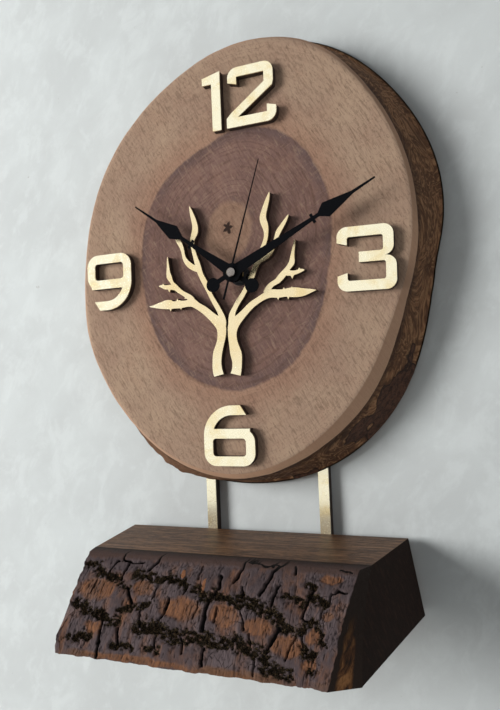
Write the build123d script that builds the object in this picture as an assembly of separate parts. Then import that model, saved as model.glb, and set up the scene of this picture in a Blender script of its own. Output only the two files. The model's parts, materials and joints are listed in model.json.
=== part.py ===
# Wall clock: a flared slice of trunk as the dial, two brass bars behind it, and a bark-fronted
# shelf on the same bars. A quartz movement with its wheels sits in a pocket behind the dial.
# Lengths are millimetres and angles are degrees. The clock is drawn about the hand arbor, with
# the dial's front face at y = 0, -Y towards the viewer and +Z up. At export it is moved so that
# the origin lies in the mouth of the hanger's hole.
import math
import os

from build123d import *

os.makedirs("parts", exist_ok=True)

# Fits, used by every piece
seat = 0.02  # between a fixed pin and its hole
running = 0.06  # between a turning arbor and its hole
layer_gap = 0.4  # between wheels that turn one behind the other
overrun = 1.0  # how far a cutting tool passes the wall that it cuts

# Dial slice
dial_half_width = 121.5
dial_half_height = 147.0
dial_centre_x = -4.0
dial_centre_z = 12.0
dial_thickness = 26.0
bevel_width = 5.0
bevel_depth = 2.0
flare = 12.0
# every 22.5 degrees from 3 o'clock, anticlockwise as seen from the front
rim_shares = (0.995, 1.02, 1.03, 1.04, 0.99, 0.95, 0.965, 0.985,
              1.0, 1.035, 1.025, 1.02, 1.005, 0.965, 0.95, 0.95)
flare_shares = (0.9, 1.3, 1.1, 0.75, 0.75, 0.9, 1.0, 1.0,
                1.0, 0.85, 0.7, 0.75, 0.6, 1.2, 1.4, 1.1)

# Bars
bar_width = 7.2
bar_thickness = 7.0
bar_centre_x = 1.7
bar_pitch = 83.7
bar_top = 118.0
bar_edge_radius = 0.4
bar_face = 1.0  # brass on the front of the dark core
bar_foot = 8.0  # how far the bars end above the shelf's underside

# Shelf
shelf_drop = 175.5  # arbor to the shelf's top
shelf_length = 203.0
shelf_centre_x = -3.5
shelf_height = 48.0
shelf_top_depth = 75.0
shelf_foot_depth = 117.0
shelf_end_taper_share = 0.16  # how much each end draws in, per length of depth
shelf_end_flare_share = 0.17  # how much each end spreads, per length of drop
bark_thickness = 8.0
bark_crown = 4.0
furrow_width = 4.6
furrow_depth = 2.8
split_width = 1.7
furrow_end_share = 0.35  # of its width: how wide a furrow or split is at its ends
# Furrows and splits in the bark: places along the front from its left end, and down it
furrow_shares = (
    ((0.076, 0.202), (0.123, 0.248), (0.171, 0.276)),
    ((0.232, 0.204), (0.279, 0.205), (0.312, 0.246), (0.361, 0.214), (0.419, 0.251), (0.477, 0.307),
     (0.543, 0.368)),
    ((0.537, 0.318), (0.583, 0.368), (0.627, 0.407)),
    ((0.626, 0.358), (0.673, 0.396), (0.755, 0.467), (0.769, 0.517)),
    ((0.856, 0.286), (0.897, 0.31), (0.921, 0.339)),
    ((0.77, 0.527), (0.798, 0.576), (0.842, 0.582), (0.857, 0.534)),
    ((0.031, 0.529), (0.079, 0.562), (0.142, 0.612), (0.195, 0.663), (0.222, 0.666)),
    ((0.046, 0.851), (0.098, 0.829), (0.132, 0.807)),
    ((0.308, 0.695), (0.361, 0.668), (0.408, 0.724), (0.474, 0.728), (0.536, 0.714), (0.585, 0.743),
     (0.644, 0.717), (0.684, 0.76), (0.733, 0.793)),
    ((0.743, 0.883), (0.783, 0.894), (0.807, 0.914)),
    ((0.854, 0.712), (0.889, 0.748), (0.92, 0.752)),
)
split_shares = (
    ((0.187, 0.086), (0.181, 0.226), (0.175, 0.289)),
    ((0.312, 0.03), (0.287, 0.095), (0.276, 0.167)),
    ((0.613, 0.03), (0.601, 0.103), (0.594, 0.213)),
    ((0.542, 0.152), (0.55, 0.253), (0.526, 0.403), (0.527, 0.649)),
    ((0.716, 0.056), (0.7, 0.23), (0.689, 0.322)),
    ((0.862, 0.175), (0.854, 0.264), (0.847, 0.361), (0.838, 0.459)),
    ((0.217, 0.339), (0.238, 0.432), (0.254, 0.504)),
    ((0.383, 0.396), (0.381, 0.545), (0.368, 0.655)),
    ((0.163, 0.65), (0.175, 0.827), (0.182, 0.938)),
    ((0.772, 0.555), (0.756, 0.657), (0.738, 0.752)),
    ((0.545, 0.788), (0.545, 0.913)),
)

# Numerals and tree
backing_thickness = 4.5
facing_thickness = 1.0
numeral_height = 40.0
numeral_width = 36.6
numeral_stroke = 6.4
loop_corner = 5.6  # along the middle of the stroke
two_corner = 3.4
bowl_corner = 6.2  # outside the three's bowls
bowl_hole_corner = 1.5
tongue_corner = 0.1
tongue_end = -4.6  # left end of the three's middle stroke
three_waist = 0.8  # above the middle
upper_step = 1.5  # how much narrower the upper half of the two and three is, at each side
hook_length = 9.6
hook_slant = 1.8  # how much further a hook's inner edge runs
waist_share = 0.035  # of the height: how far the nine's loop closes below the middle
tail_share = 0.7  # of the half width: how far the nine's tail reaches
tail_radius = 17.5
tail_slant = 4.2
bend_share = 0.17  # of the height: where the two's neck starts
neck_share = 0.75  # of the half stroke: how much the two's neck is cut
flag_share = 0.75  # of the stroke: how deep the one's flag is
rise_share = 0.45  # of the stroke: how much the flag slopes
two_width = 35.2
one_width = 13.2
one_gap = 4.1
twelve_inset = 41.0  # from the oval's top to the numeral's centre
three_inset = 31.2
six_inset = 28.6
nine_inset = 26.1
twelve_shift = 6.3  # beside or above the arbor
three_shift = 1.7
six_shift = -10.5
nine_shift = 4.2
three_lean = 1.2
tree_foot_gap = 18.4  # above the six
tree_head_gap = 48.0  # below the twelve
tree_side_gap = 14.2  # beside the nine and the three
tree_foot_share = 0.471  # of the tree's width: where it stands
hub_gap = 1.0  # beside the washer
thorn_width_share = 0.032

# Hands, from arbor to tip, and the time that they show
minute_hand_length = 107.0
hour_hand_length = 90.0
second_hand_length = 74.0
minute_angle = 63.3
hour_angle = 306.5
second_angle = 17.8
hand_sheet = 0.6
second_sheet = 0.3
hand_hub_radius = 6.2
arm_foot_width = 8.1
arm_neck_width = 2.4
crossbar_width = 6.4
crossbar_height = 1.9
spade_width = 10.1
spade_rod_width = 1.9
spade_swell_share = 0.42  # of the spade's half width, halfway up its outer curve
minute_shares = (0.585, 0.625, 0.675, 0.85)  # crossbar, neck, widest place and rod, along the hand
hour_shares = (0.42, 0.515, 0.6, 0.775)
weight_distance = 15.4
weight_neck_width = 3.1
weight_radius = 4.7
second_tail = 18.3
second_tail_width = 1.5
second_tip_width = 0.5
hour_hand_lift = 10.4  # dial face to the back of the hour hand
minute_hand_lift = 13.4
second_hand_lift = 15.9
collar_length = 1.2
collar_wall = 1.2
cap_radius = 3.0
cap_height = 1.5

# Movement
case_depth = 15.2
case_wall = 1.5
case_corner = 3.0
room_margin = 0.85  # between the coil and the case
pocket_margin = 2.0
pocket_floor = 7.5  # wood left in front of the movement
pocket_corner = 6.0
gasket_thickness = 1.0
gasket_radius = 9.0
bushing_radius = 4.0
bushing_flange_radius = 5.5
bushing_flange = 0.4
shaft_hole_gap = 0.25
washer_radius = 7.0
washer_thickness = 0.6
nut_across_flats = 11.0
nut_thickness = 2.4
thread_beyond_nut = 0.5
wheel_thickness = 0.8
bridge_thickness = 0.8
bridge_gap = 0.3
pivot_radius = 0.5
pivot_depth = 1.0
end_play = 0.2  # along an arbor, at each end
minute_tube_radius = 1.6
hour_tube_radius = 2.5
tube_wall_gap = 0.1
motion_arbor_radius = 1.0
knob_radius = 6.0
knob_length = 3.4
knob_flutes = 12
flute_radius = 0.9

# Teeth: each pair is wheel teeth, pinion leaves
motor_teeth, motor_leaves = 48, 8
seconds_teeth, intermediate_leaves = 40, 8
third_teeth, seconds_leaves = 60, 8
centre_teeth, third_leaves = 64, 8
motion_teeth, cannon_leaves = 48, 16
hour_teeth, motion_leaves = 48, 12
addendum_share = 0.85
dedendum_share = 1.15
tip_width_share = 0.11  # of one tooth pitch, measured each side of the tooth's middle
waist_width_share = 0.19
root_width_share = 0.21

# Arbor places, as a distance and a direction from the arbor that drives them
motion_distance, motion_direction = 9.6, 180.0
third_distance, third_direction = 9.2, 20.0
intermediate_distance = 6.7
intermediate_clearance = 0.75  # between its wheel and the motion arbor
rotor_distance, rotor_direction = 7.0, 60.0

# Motor, battery and board
magnet_radius = 3.0
magnet_length = 1.8
stator_gap = 0.4
stator_thickness = 1.0
stator_length = 32.0
stator_height = 9.2
stator_arm = 4.0
coil_rise = 10.2  # rotor to coil
core_height = 3.0
core_thickness = 1.0
coil_radius = 2.4
coil_length = 20.0
battery_radius = 7.1
battery_length = 49.0
battery_nub_radius = 2.75
battery_nub = 1.4
battery_gap = 0.3
bay_gap = 0.4  # above and below the battery
contact_reach = 2.0  # from the battery's end to the case's wall
contact_thickness = 0.4
contact_side = 9.0
contact_boss_radius = 2.0
board_width = 15.0
board_height = 16.0
board_thickness = 1.0
board_margin = 0.5
crystal_radius = 1.0
crystal_length = 6.0
chip_radius = 2.6
chip_height = 0.8
chip_draft = 20.0
post_radius = 1.1
left_post_x = -12.0
right_post_x = 13.0
upper_post_z = 13.0
foot_post_gap = 1.25  # between the hour wheel and the lower post
bridge_edge = 2.2  # from a post's centre to the bridge's edge
bridge_left_drop = 4.0
bridge_right_drop = 2.0

# Hanger and screws
hanger_width = 44.0
hanger_height = 18.0
hanger_thickness = 2.0
hanger_rise = 104.0  # arbor to the hanger's hole
hanger_hole_radius = 4.5
hanger_corner = 4.0
hanger_screw_pitch = 32.0
screw_pocket_radius = 6.5
screw_pocket_depth = 7.0
screw_head_radius = 3.0
screw_head_depth = 1.9
screw_shank_radius = 1.6
bar_screw_length = 20.0
hanger_screw_length = 12.0
bar_screw_inset = 12.0


def at(distance, direction, start=(0, 0)):
    """A place at a distance and direction from another, in the plane of the dial."""
    turn = math.radians(direction)
    return (start[0] + distance * math.cos(turn), start[1] + distance * math.sin(turn))


def module_of(distance, teeth, leaves):
    return 2 * distance / (teeth + leaves)


def tip_radius(count, module):
    return module * (count / 2 + addendum_share)


# Arbor places. The intermediate wheel's arbor is turned round the centre until its wheel
# passes beside the motion arbor.
motion_place = at(motion_distance, motion_direction)
third_place = at(third_distance, third_direction)
intermediate_tip = tip_radius(motor_teeth, module_of(rotor_distance, motor_teeth, motor_leaves))
apart = intermediate_tip + motion_arbor_radius + intermediate_clearance
spread = math.acos((motion_distance ** 2 + intermediate_distance ** 2 - apart ** 2)
                   / (2 * motion_distance * intermediate_distance))
intermediate_direction = motion_direction - math.degrees(spread)
intermediate_place = at(intermediate_distance, intermediate_direction)
rotor_place = at(rotor_distance, rotor_direction, intermediate_place)

# The case closes round the coil above, the lower post below and the battery's length
coil_z = rotor_place[1] + coil_rise
hour_tip = tip_radius(hour_teeth, module_of(motion_distance, hour_teeth, motion_leaves))
foot_post_z = -(hour_tip + foot_post_gap + post_radius)
room_top = coil_z + coil_radius + room_margin
room_bottom = foot_post_z - post_radius - end_play
bay_top = room_bottom - case_wall
bay_bottom = bay_top - 2 * (battery_radius + bay_gap)
case_top = room_top + case_wall
case_bottom = bay_bottom - case_wall
case_height = case_top - case_bottom
case_centre_z = (case_top + case_bottom) / 2
inner_width = battery_length + 2 * contact_reach
case_width = inner_width + 2 * case_wall


def slab(outline, front, back):
    """A flat outline drawn in X and Z, made solid between two depths."""
    return extrude(Plane.XZ.offset(-back) * outline, amount=back - front)


def rod(radius, front, back, place=(0, 0)):
    """A round bar along Y."""
    return slab(Pos(*place) * Circle(radius), front, back)


def tube(radius, bore, front, back, place=(0, 0)):
    return slab(Pos(*place) * (Circle(radius) - Circle(bore)), front, back)


def sides(stations):
    """The two sides of a run of places and widths, each half the width away from the run."""
    both = ([], [])
    for k, (x, z, width) in enumerate(stations):
        x0, z0, _ = stations[max(k - 1, 0)]
        x1, z1, _ = stations[min(k + 1, len(stations) - 1)]
        span = math.hypot(x1 - x0, z1 - z0)
        for side, half in zip(both, (width / 2, -width / 2)):
            side.append((x - half * (z1 - z0) / span, z + half * (x1 - x0) / span))
    return both


# Every node is moved to the hanger's hole as it is kept
bar_back = dial_thickness + bar_thickness
hanger_back = dial_thickness + hanger_thickness
home = Pos(-bar_centre_x, -hanger_back, -hanger_rise)
nodes = {}


def keep(name, *solids):
    shapes = [home * s for s in solids]
    nodes[name] = shapes[0] if len(shapes) == 1 else Compound(children=shapes)


# Dial slice: an uneven oval that flares towards the wall
def trunk_outline(spread):
    """The slice's outline, spread outwards by one amount for each direction."""
    points = []
    for k, share in enumerate(rim_shares):
        turn = 2 * math.pi * k / len(rim_shares)
        oval = 1 / math.hypot(math.cos(turn) / dial_half_width, math.sin(turn) / dial_half_height)
        reach = oval * share + spread[k]
        points.append((dial_centre_x + reach * math.cos(turn), dial_centre_z + reach * math.sin(turn)))
    return make_face(Spline(*points, periodic=True))


def trunk_at(depth, spread):
    return Plane.XZ.offset(-depth) * trunk_outline(spread)


inner_rim = trunk_at(0, [-bevel_width] * len(rim_shares))
outer_rim = trunk_at(bevel_depth, [0] * len(rim_shares))
back_rim = trunk_at(dial_thickness, [flare * share for share in flare_shares])
dial = loft([inner_rim, outer_rim], ruled=True) + loft([outer_rim, back_rim], ruled=True)

case_back = pocket_floor + gasket_thickness + case_depth
pocket = RectangleRounded(case_width + 2 * pocket_margin, case_height + 2 * pocket_margin, pocket_corner)
dial -= slab(Pos(0, case_centre_z) * pocket, pocket_floor, dial_thickness + overrun)
dial -= rod(bushing_radius + shaft_hole_gap, -overrun, pocket_floor + overrun)
dial -= rod(screw_pocket_radius, dial_thickness - screw_pocket_depth, dial_thickness + overrun,
            (bar_centre_x, hanger_rise))


# Screws: a countersunk head whose top lies in the face that it holds
def screw(tip, head, place, grow=0):
    """A countersunk wood screw along Y, with its tip in the wood and its head towards the wall."""
    shank = rod(screw_shank_radius + grow, tip - grow, head - screw_head_depth, place)
    under_head = Plane.XZ.offset(screw_head_depth - head)
    cone = loft([under_head * Pos(*place) * Circle(screw_shank_radius + grow),
                 Plane.XZ.offset(-head) * Pos(*place) * Circle(screw_head_radius + grow)])
    return shank + cone


bar_xs = (bar_centre_x - bar_pitch / 2, bar_centre_x + bar_pitch / 2)
bar_bottom = -shelf_drop - shelf_height + bar_foot
screw_zs = (bar_top - bar_screw_inset, -bar_top + bar_screw_inset,
            -shelf_drop - bar_screw_inset, bar_bottom + bar_screw_inset)
hanger_screw_xs = (bar_centre_x - hanger_screw_pitch / 2, bar_centre_x + hanger_screw_pitch / 2)


def bar_screw(x, z, grow=0):
    return screw(bar_back - bar_screw_length, bar_back, (x, z), grow)


def hanger_screw(x, grow=0):
    return screw(hanger_back - hanger_screw_length, hanger_back, (x, hanger_rise), grow)


for x in bar_xs:
    for z in screw_zs[:2]:
        dial -= bar_screw(x, z, seat)
for x in hanger_screw_xs:
    dial -= hanger_screw(x, seat)
keep("dial_slice", dial)

for name, x in zip(("left_bar", "right_bar"), bar_xs):
    strip = Pos(x, (bar_top + bar_bottom) / 2) * Rectangle(bar_width, bar_top - bar_bottom)
    core_front = dial_thickness + bar_face
    face = slab(strip, dial_thickness, core_front)
    core = slab(strip, core_front, bar_back)
    core = fillet(core.edges().filter_by(Axis.Z).group_by(Axis.Y)[-1], bar_edge_radius)
    for z in screw_zs:
        face -= bar_screw(x, z, seat)
        core -= bar_screw(x, z, seat)
    keep(name, core)
    keep(name + "_face", face)
keep("bar_screws", *[bar_screw(x, z) for x in bar_xs for z in screw_zs])

hanger = slab(Pos(bar_centre_x, hanger_rise) * RectangleRounded(hanger_width, hanger_height, hanger_corner),
              dial_thickness, hanger_back)
hanger -= rod(hanger_hole_radius, dial_thickness - overrun, hanger_back + overrun,
              (bar_centre_x, hanger_rise))
for x in hanger_screw_xs:
    hanger -= hanger_screw(x, seat)
keep("hanger_plate", hanger)
keep("hanger_screws", *[hanger_screw(x) for x in hanger_screw_xs])


# Shelf: the wood and its bark are two side profiles, cut to length by the same four-sided ends
def shelf_plan(drop):
    """The plan of the sawn ends at a distance below the shelf's top."""
    half = shelf_length / 2 + shelf_end_flare_share * drop
    reach = shelf_foot_depth + bark_thickness + overrun
    front = half - shelf_end_taper_share * reach
    back_y = dial_thickness
    corners = ((-half, back_y), (half, back_y), (front, back_y - reach), (-front, back_y - reach))
    outline = Polyline(*[(shelf_centre_x + x, y) for x, y in corners], close=True)
    return Plane.XY.offset(-shelf_drop - drop) * make_face(outline)


def across(profile):
    """A side profile drawn in Y and Z, made solid along X past both ends."""
    reach = shelf_length
    return extrude(Plane.YZ.offset(shelf_centre_x) * profile, amount=reach, both=True)


sawn_ends = loft([shelf_plan(-overrun), shelf_plan(shelf_height + overrun)], ruled=True)
top_z = -shelf_drop
foot_z = top_z - shelf_height
top_front = dial_thickness - shelf_top_depth
foot_front = dial_thickness - shelf_foot_depth
slope = math.atan2(shelf_foot_depth - shelf_top_depth, shelf_height)
bark_run = bark_thickness / math.cos(slope)  # bark measured level
inner = ((top_front + bark_run, top_z), (foot_front + bark_run, foot_z))
outer = ((top_front, top_z), (foot_front, foot_z))


def crowned(line):
    """The arc through a sloping line's ends that bulges forwards by the bark's crown."""
    (y0, z0), (y1, z1) = line
    middle = ((y0 + y1) / 2 - bark_crown * math.cos(slope), (z0 + z1) / 2 + bark_crown * math.sin(slope))
    return ThreePointArc(line[0], middle, line[1])


wood_side = Polyline(inner[1], (dial_thickness, foot_z), (dial_thickness, top_z), inner[0])
shelf = across(make_face([*wood_side.edges(), crowned(inner)])) & sawn_ends
for x in bar_xs:
    for z in screw_zs[2:]:
        shelf -= bar_screw(x, z, seat)
keep("shelf_block", shelf)



def bark_layer(back_line):
    """The bark in front of one sloping line, across the whole shelf."""
    sides_of_layer = [crowned(back_line), Line(back_line[1], outer[1]), crowned(outer),
                      Line(outer[0], back_line[0])]
    return across(make_face(sides_of_layer))


# The furrows and splits are drawn on the sloping front and cut to one depth below its crown
front_plane = Plane(origin=(shelf_centre_x, top_front, top_z), x_dir=(1, 0, 0),
                    z_dir=(0, -math.cos(slope), math.sin(slope)))
front_length = math.hypot(foot_front - top_front, shelf_height)


def front_place(along, down):
    depth = shelf_top_depth + (shelf_foot_depth - shelf_top_depth) * down
    half = shelf_length / 2 + shelf_end_flare_share * shelf_height * down - shelf_end_taper_share * depth
    return ((2 * along - 1) * half, -front_length * down)


def channel(places, width):
    """The outline of a channel through places on the front, narrower at both ends."""
    widths = [width * furrow_end_share] + [width] * (len(places) - 2) + [width * furrow_end_share]
    one_side, other_side = sides([(*front_place(*p), w) for p, w in zip(places, widths)])
    return make_face(Polyline(*one_side, *reversed(other_side), close=True))


channels = [channel(run, furrow_width) for run in furrow_shares]
channels += [channel(run, split_width) for run in split_shares]
drawn = front_plane * (Sketch() + channels)
cutter = extrude(drawn, amount=bark_crown + overrun) + extrude(drawn, amount=-furrow_depth)
furrow_run = furrow_depth / math.cos(slope)
skin = bark_layer([(y + furrow_run, z) for y, z in outer])
bark = bark_layer(inner) & sawn_ends
keep("shelf_bark", bark - (cutter & skin))

# Numerals: strokes of one width along rounded paths, a dark backing under a brass face
half_stroke = numeral_stroke / 2
half_width = numeral_width / 2
half_height = numeral_height / 2
head = half_height - half_stroke  # middle of the uppermost stroke


def stroke(points, radius):
    return trace(FilletPolyline(*points, radius=radius), line_width=numeral_stroke)


def block(left, right, foot, head, corner):
    """A rectangle with round corners, given by its edges."""
    return Pos((left + right) / 2, (foot + head) / 2) * RectangleRounded(right - left, head - foot, corner)


def tip(outer_x, inner_x, end, slant):
    """What a hook's slanting end adds along the hook's inner edge."""
    return make_face(Polyline((outer_x, end), (inner_x, end), (inner_x, end + slant), close=True))


def figure_nine():
    """A closed loop whose right side sweeps down into a tail with a slanting end."""
    side = half_width - half_stroke
    loop_foot = -numeral_height * waist_share
    loop = ((0, head), (side, head), (side, loop_foot), (-side, loop_foot), (-side, head), (0, head))
    tail_end = -half_width * tail_share
    sweep = ((side, head - loop_corner), (side, -head), (tail_end, -head))
    cut = ((tail_end, -head + half_stroke), (tail_end, -half_height), (tail_end + tail_slant, -half_height))
    tail = stroke(sweep, tail_radius) - make_face(Polyline(*cut, close=True))
    return stroke(loop[:4], loop_corner) + stroke(loop[2:], loop_corner) + tail


def figure_three():
    """Two bowls that meet at the waist, opened at the left between their hooks."""
    waist = three_waist
    upper_side = half_width - upper_step
    hooks = half_width - numeral_stroke
    upper = block(-half_width, upper_side, waist, half_height, bowl_corner)
    upper -= block(-hooks, upper_side - numeral_stroke, waist + half_stroke, head - half_stroke,
                   bowl_hole_corner)
    lower = block(-half_width, half_width, -half_height, waist, bowl_corner)
    lower -= block(-hooks, hooks, -head + half_stroke, waist - half_stroke, bowl_hole_corner)
    open_top, open_foot = half_height - hook_length, -half_height + hook_length
    inner_top, inner_foot = open_top - hook_slant, open_foot + hook_slant
    opening = ((-half_width, open_top), (-hooks, inner_top), (tongue_end, inner_top),
               (tongue_end, inner_foot), (-hooks, inner_foot), (-half_width, open_foot))
    bowls = upper + lower - make_face(Polyline(*opening, close=True))
    return bowls + block(tongue_end, upper_side - bowl_corner, waist - half_stroke, waist + half_stroke,
                         tongue_corner)


def figure_two():
    """A hooked top, a slanting neck down to the foot's left end, and a foot that turns up."""
    upper_side = two_width / 2 - upper_step - half_stroke
    foot_side = two_width / 2 - half_stroke
    bend = numeral_height * bend_share
    hook_end = half_height - hook_length
    foot_top = -head + half_stroke
    upper = stroke(((-upper_side, hook_end), (-upper_side, head), (upper_side, head), (upper_side, bend)),
                   two_corner)
    upper += tip(-upper_side - half_stroke, -upper_side + half_stroke, hook_end, -hook_slant)
    lower = stroke(((-two_width / 2, -head), (foot_side, -head), (foot_side, -hook_end)), two_corner)
    lower += tip(foot_side + half_stroke, foot_side - half_stroke, -hook_end, hook_slant)
    foot_left = -two_width / 2
    neck = ((upper_side - half_stroke, bend), (upper_side + half_stroke, bend),
            (upper_side + half_stroke * neck_share, bend - half_stroke),
            (foot_left + numeral_stroke + hook_slant, foot_top), (foot_left, -head), (foot_left, foot_top),
            (foot_left + half_stroke, foot_top + half_stroke))
    return upper + lower + make_face(Polyline(*neck, close=True))


def figure_one():
    side = one_width / 2
    flag = numeral_stroke * flag_share
    rise = numeral_stroke * rise_share
    inner_x = side - numeral_stroke
    flag_foot = half_height - rise - flag
    outline = ((side, half_height), (side, -half_height), (inner_x, -half_height), (inner_x, flag_foot),
               (-side, flag_foot), (-side, half_height - rise))
    return make_face(Polyline(*outline, close=True))


def layered(name, outlines):
    """Keeps a backing and a brass face of the same outlines, one behind the other."""
    keep(name + "_backing", *[slab(o, -backing_thickness, 0) for o in outlines])
    face_front = -backing_thickness - facing_thickness
    keep(name + "_face", *[slab(o, face_front, -backing_thickness) for o in outlines])


twelve_z = dial_centre_z + dial_half_height - twelve_inset
three_x = dial_centre_x + dial_half_width - three_inset
six_z = dial_centre_z - dial_half_height + six_inset
nine_x = dial_centre_x - dial_half_width + nine_inset
pair_width = one_width + one_gap + two_width
one = Pos(twelve_shift - (pair_width - one_width) / 2, twelve_z) * figure_one()
two = Pos(twelve_shift + (pair_width - two_width) / 2, twelve_z) * figure_two()
layered("numeral_12", [one, two])
layered("numeral_3", [Pos(three_x, three_shift) * Rot(0, 0, -three_lean) * figure_three()])
layered("numeral_6", [Pos(six_shift, six_z) * Rot(0, 0, 180) * figure_nine()])
layered("numeral_9", [Pos(nine_x, nine_shift) * figure_nine()])

# Tree: it stands over the six, below the twelve and between the nine and the three. Each limb is a
# run of places and widths, as shares of the tree's width, its height and its width again. The first
# limb of each half is its trunk and lower limb, and the last is a twig.
twelve_foot = twelve_z - numeral_height / 2
six_head = six_z + numeral_height / 2
nine_side = nine_x + numeral_width / 2
three_side = three_x - numeral_width / 2
tree_foot_z = six_head + tree_foot_gap
tree_height = twelve_foot - tree_head_gap - tree_foot_z
tree_width = three_side - nine_side - 2 * tree_side_gap
tree_foot_x = nine_side + tree_side_gap + tree_foot_share * tree_width
left_limb_shares = (
    ((-0.049, 0.015, 0.059), (-0.058, 0.057, 0.056), (-0.058, 0.093, 0.053), (-0.05, 0.147, 0.053),
     (-0.035, 0.19, 0.046), (-0.024, 0.232, 0.049), (-0.022, 0.276, 0.056), (-0.034, 0.309, 0.062),
     (-0.068, 0.341, 0.049), (-0.098, 0.369, 0.044), (-0.131, 0.397, 0.041), (-0.164, 0.419, 0.039),
     (-0.195, 0.439, 0.046), (-0.227, 0.438, 0.038), (-0.26, 0.436, 0.04), (-0.288, 0.437, 0.045),
     (-0.309, 0.436, 0.04), (-0.334, 0.439, 0.05), (-0.358, 0.442, 0.052), (-0.388, 0.44, 0.042),
     (-0.421, 0.439, 0.027), (-0.449, 0.438, 0.013), (-0.472, 0.44, 0.003)),
    ((-0.021, 0.297, 0.053), (-0.017, 0.326, 0.046), (-0.024, 0.363, 0.031), (-0.04, 0.397, 0.028),
     (-0.061, 0.435, 0.027), (-0.08, 0.471, 0.024), (-0.096, 0.509, 0.027), (-0.116, 0.554, 0.032),
     (-0.136, 0.596, 0.03), (-0.148, 0.634, 0.033), (-0.159, 0.676, 0.029), (-0.171, 0.718, 0.023),
     (-0.179, 0.76, 0.023), (-0.181, 0.797, 0.026), (-0.166, 0.836, 0.037), (-0.16, 0.873, 0.034),
     (-0.166, 0.91, 0.029), (-0.178, 0.953, 0.021), (-0.19, 0.998, 0.003)),
    ((-0.151, 0.627, 0.03), (-0.188, 0.646, 0.032), (-0.219, 0.674, 0.028), (-0.237, 0.707, 0.02),
     (-0.244, 0.743, 0.019), (-0.256, 0.78, 0.025), (-0.273, 0.808, 0.022), (-0.286, 0.822, 0.005)),
    ((-0.191, 0.439, 0.038), (-0.219, 0.477, 0.031), (-0.251, 0.498, 0.025), (-0.279, 0.519, 0.028),
     (-0.302, 0.542, 0.03), (-0.321, 0.57, 0.02), (-0.335, 0.599, 0.031), (-0.341, 0.624, 0.025),
     (-0.342, 0.654, 0.017), (-0.343, 0.688, 0.01), (-0.343, 0.72, 0.003)),
    ((-0.293, 0.532, 0.026), (-0.319, 0.541, 0.03), (-0.346, 0.543, 0.025), (-0.367, 0.545, 0.024),
     (-0.387, 0.552, 0.016), (-0.406, 0.554, 0.003)),
)
right_limb_shares = (
    ((0.051, 0.016, 0.061), (0.061, 0.055, 0.055), (0.063, 0.091, 0.058), (0.058, 0.134, 0.066),
     (0.049, 0.174, 0.056), (0.042, 0.217, 0.05), (0.042, 0.257, 0.053), (0.052, 0.296, 0.062),
     (0.086, 0.329, 0.047), (0.125, 0.364, 0.038), (0.164, 0.398, 0.036), (0.202, 0.42, 0.033),
     (0.243, 0.441, 0.037), (0.281, 0.45, 0.044), (0.317, 0.446, 0.044), (0.353, 0.447, 0.042),
     (0.389, 0.447, 0.05), (0.425, 0.444, 0.05), (0.46, 0.442, 0.039), (0.495, 0.445, 0.022),
     (0.526, 0.447, 0.003)),
    ((0.048, 0.285, 0.056), (0.044, 0.322, 0.044), (0.047, 0.357, 0.034), (0.063, 0.388, 0.028),
     (0.082, 0.419, 0.028), (0.106, 0.45, 0.028), (0.127, 0.481, 0.025), (0.151, 0.521, 0.029),
     (0.172, 0.558, 0.03), (0.186, 0.592, 0.029), (0.202, 0.626, 0.027), (0.221, 0.667, 0.024),
     (0.241, 0.71, 0.023), (0.258, 0.751, 0.023), (0.264, 0.793, 0.026), (0.257, 0.835, 0.037),
     (0.249, 0.872, 0.037), (0.259, 0.915, 0.03), (0.276, 0.962, 0.023), (0.292, 1.011, 0.003)),
    ((0.196, 0.609, 0.029), (0.22, 0.638, 0.027), (0.25, 0.651, 0.026), (0.28, 0.674, 0.026),
     (0.302, 0.709, 0.023), (0.318, 0.747, 0.021), (0.333, 0.783, 0.027), (0.356, 0.815, 0.023),
     (0.376, 0.843, 0.017), (0.394, 0.871, 0.003)),
    ((0.248, 0.455, 0.033), (0.262, 0.478, 0.033), (0.286, 0.501, 0.028), (0.313, 0.514, 0.03),
     (0.337, 0.536, 0.035), (0.362, 0.56, 0.032), (0.381, 0.582, 0.027), (0.401, 0.609, 0.031),
     (0.405, 0.632, 0.025), (0.41, 0.663, 0.017), (0.417, 0.697, 0.013), (0.424, 0.732, 0.003)),
    ((0.364, 0.556, 0.028), (0.39, 0.552, 0.028), (0.408, 0.551, 0.024), (0.428, 0.554, 0.021),
     (0.448, 0.559, 0.018), (0.469, 0.561, 0.003)),
)
# Thorns: foot and tip of each
left_thorn_shares = (
    (-0.29, 0.44, -0.289, 0.471), (-0.331, 0.441, -0.33, 0.469), (-0.335, 0.437, -0.336, 0.401),
    (-0.338, 0.541, -0.339, 0.513), (-0.377, 0.546, -0.378, 0.568), (-0.22, 0.477, -0.245, 0.468),
    (-0.268, 0.435, -0.269, 0.406),
)
right_thorn_shares = (
    (0.35, 0.447, 0.351, 0.478), (0.395, 0.449, 0.396, 0.479), (0.317, 0.446, 0.316, 0.411),
    (0.374, 0.446, 0.373, 0.41), (0.401, 0.551, 0.4, 0.52), (0.441, 0.555, 0.441, 0.577),
)


def beside_hub(x, z, width):
    """A place on a limb, moved out from the arbor until the limb passes beside the washer."""
    from_arbor_x, from_arbor_z = tree_foot_x + x, tree_foot_z + z
    reach = math.hypot(from_arbor_x, from_arbor_z)
    outward = max(reach, washer_radius + hub_gap + width / 2) / reach
    return from_arbor_x * outward - tree_foot_x, from_arbor_z * outward - tree_foot_z, width


def limb(stations):
    """A tapering limb with a smooth line down each side."""
    run = [beside_hub(tree_width * x, tree_height * z, tree_width * width) for x, z, width in stations]
    one_side, other_side = sides(run)
    return make_face([Spline(*one_side), Line(one_side[-1], other_side[-1]),
                      Spline(*other_side), Line(other_side[0], one_side[0])])


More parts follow.
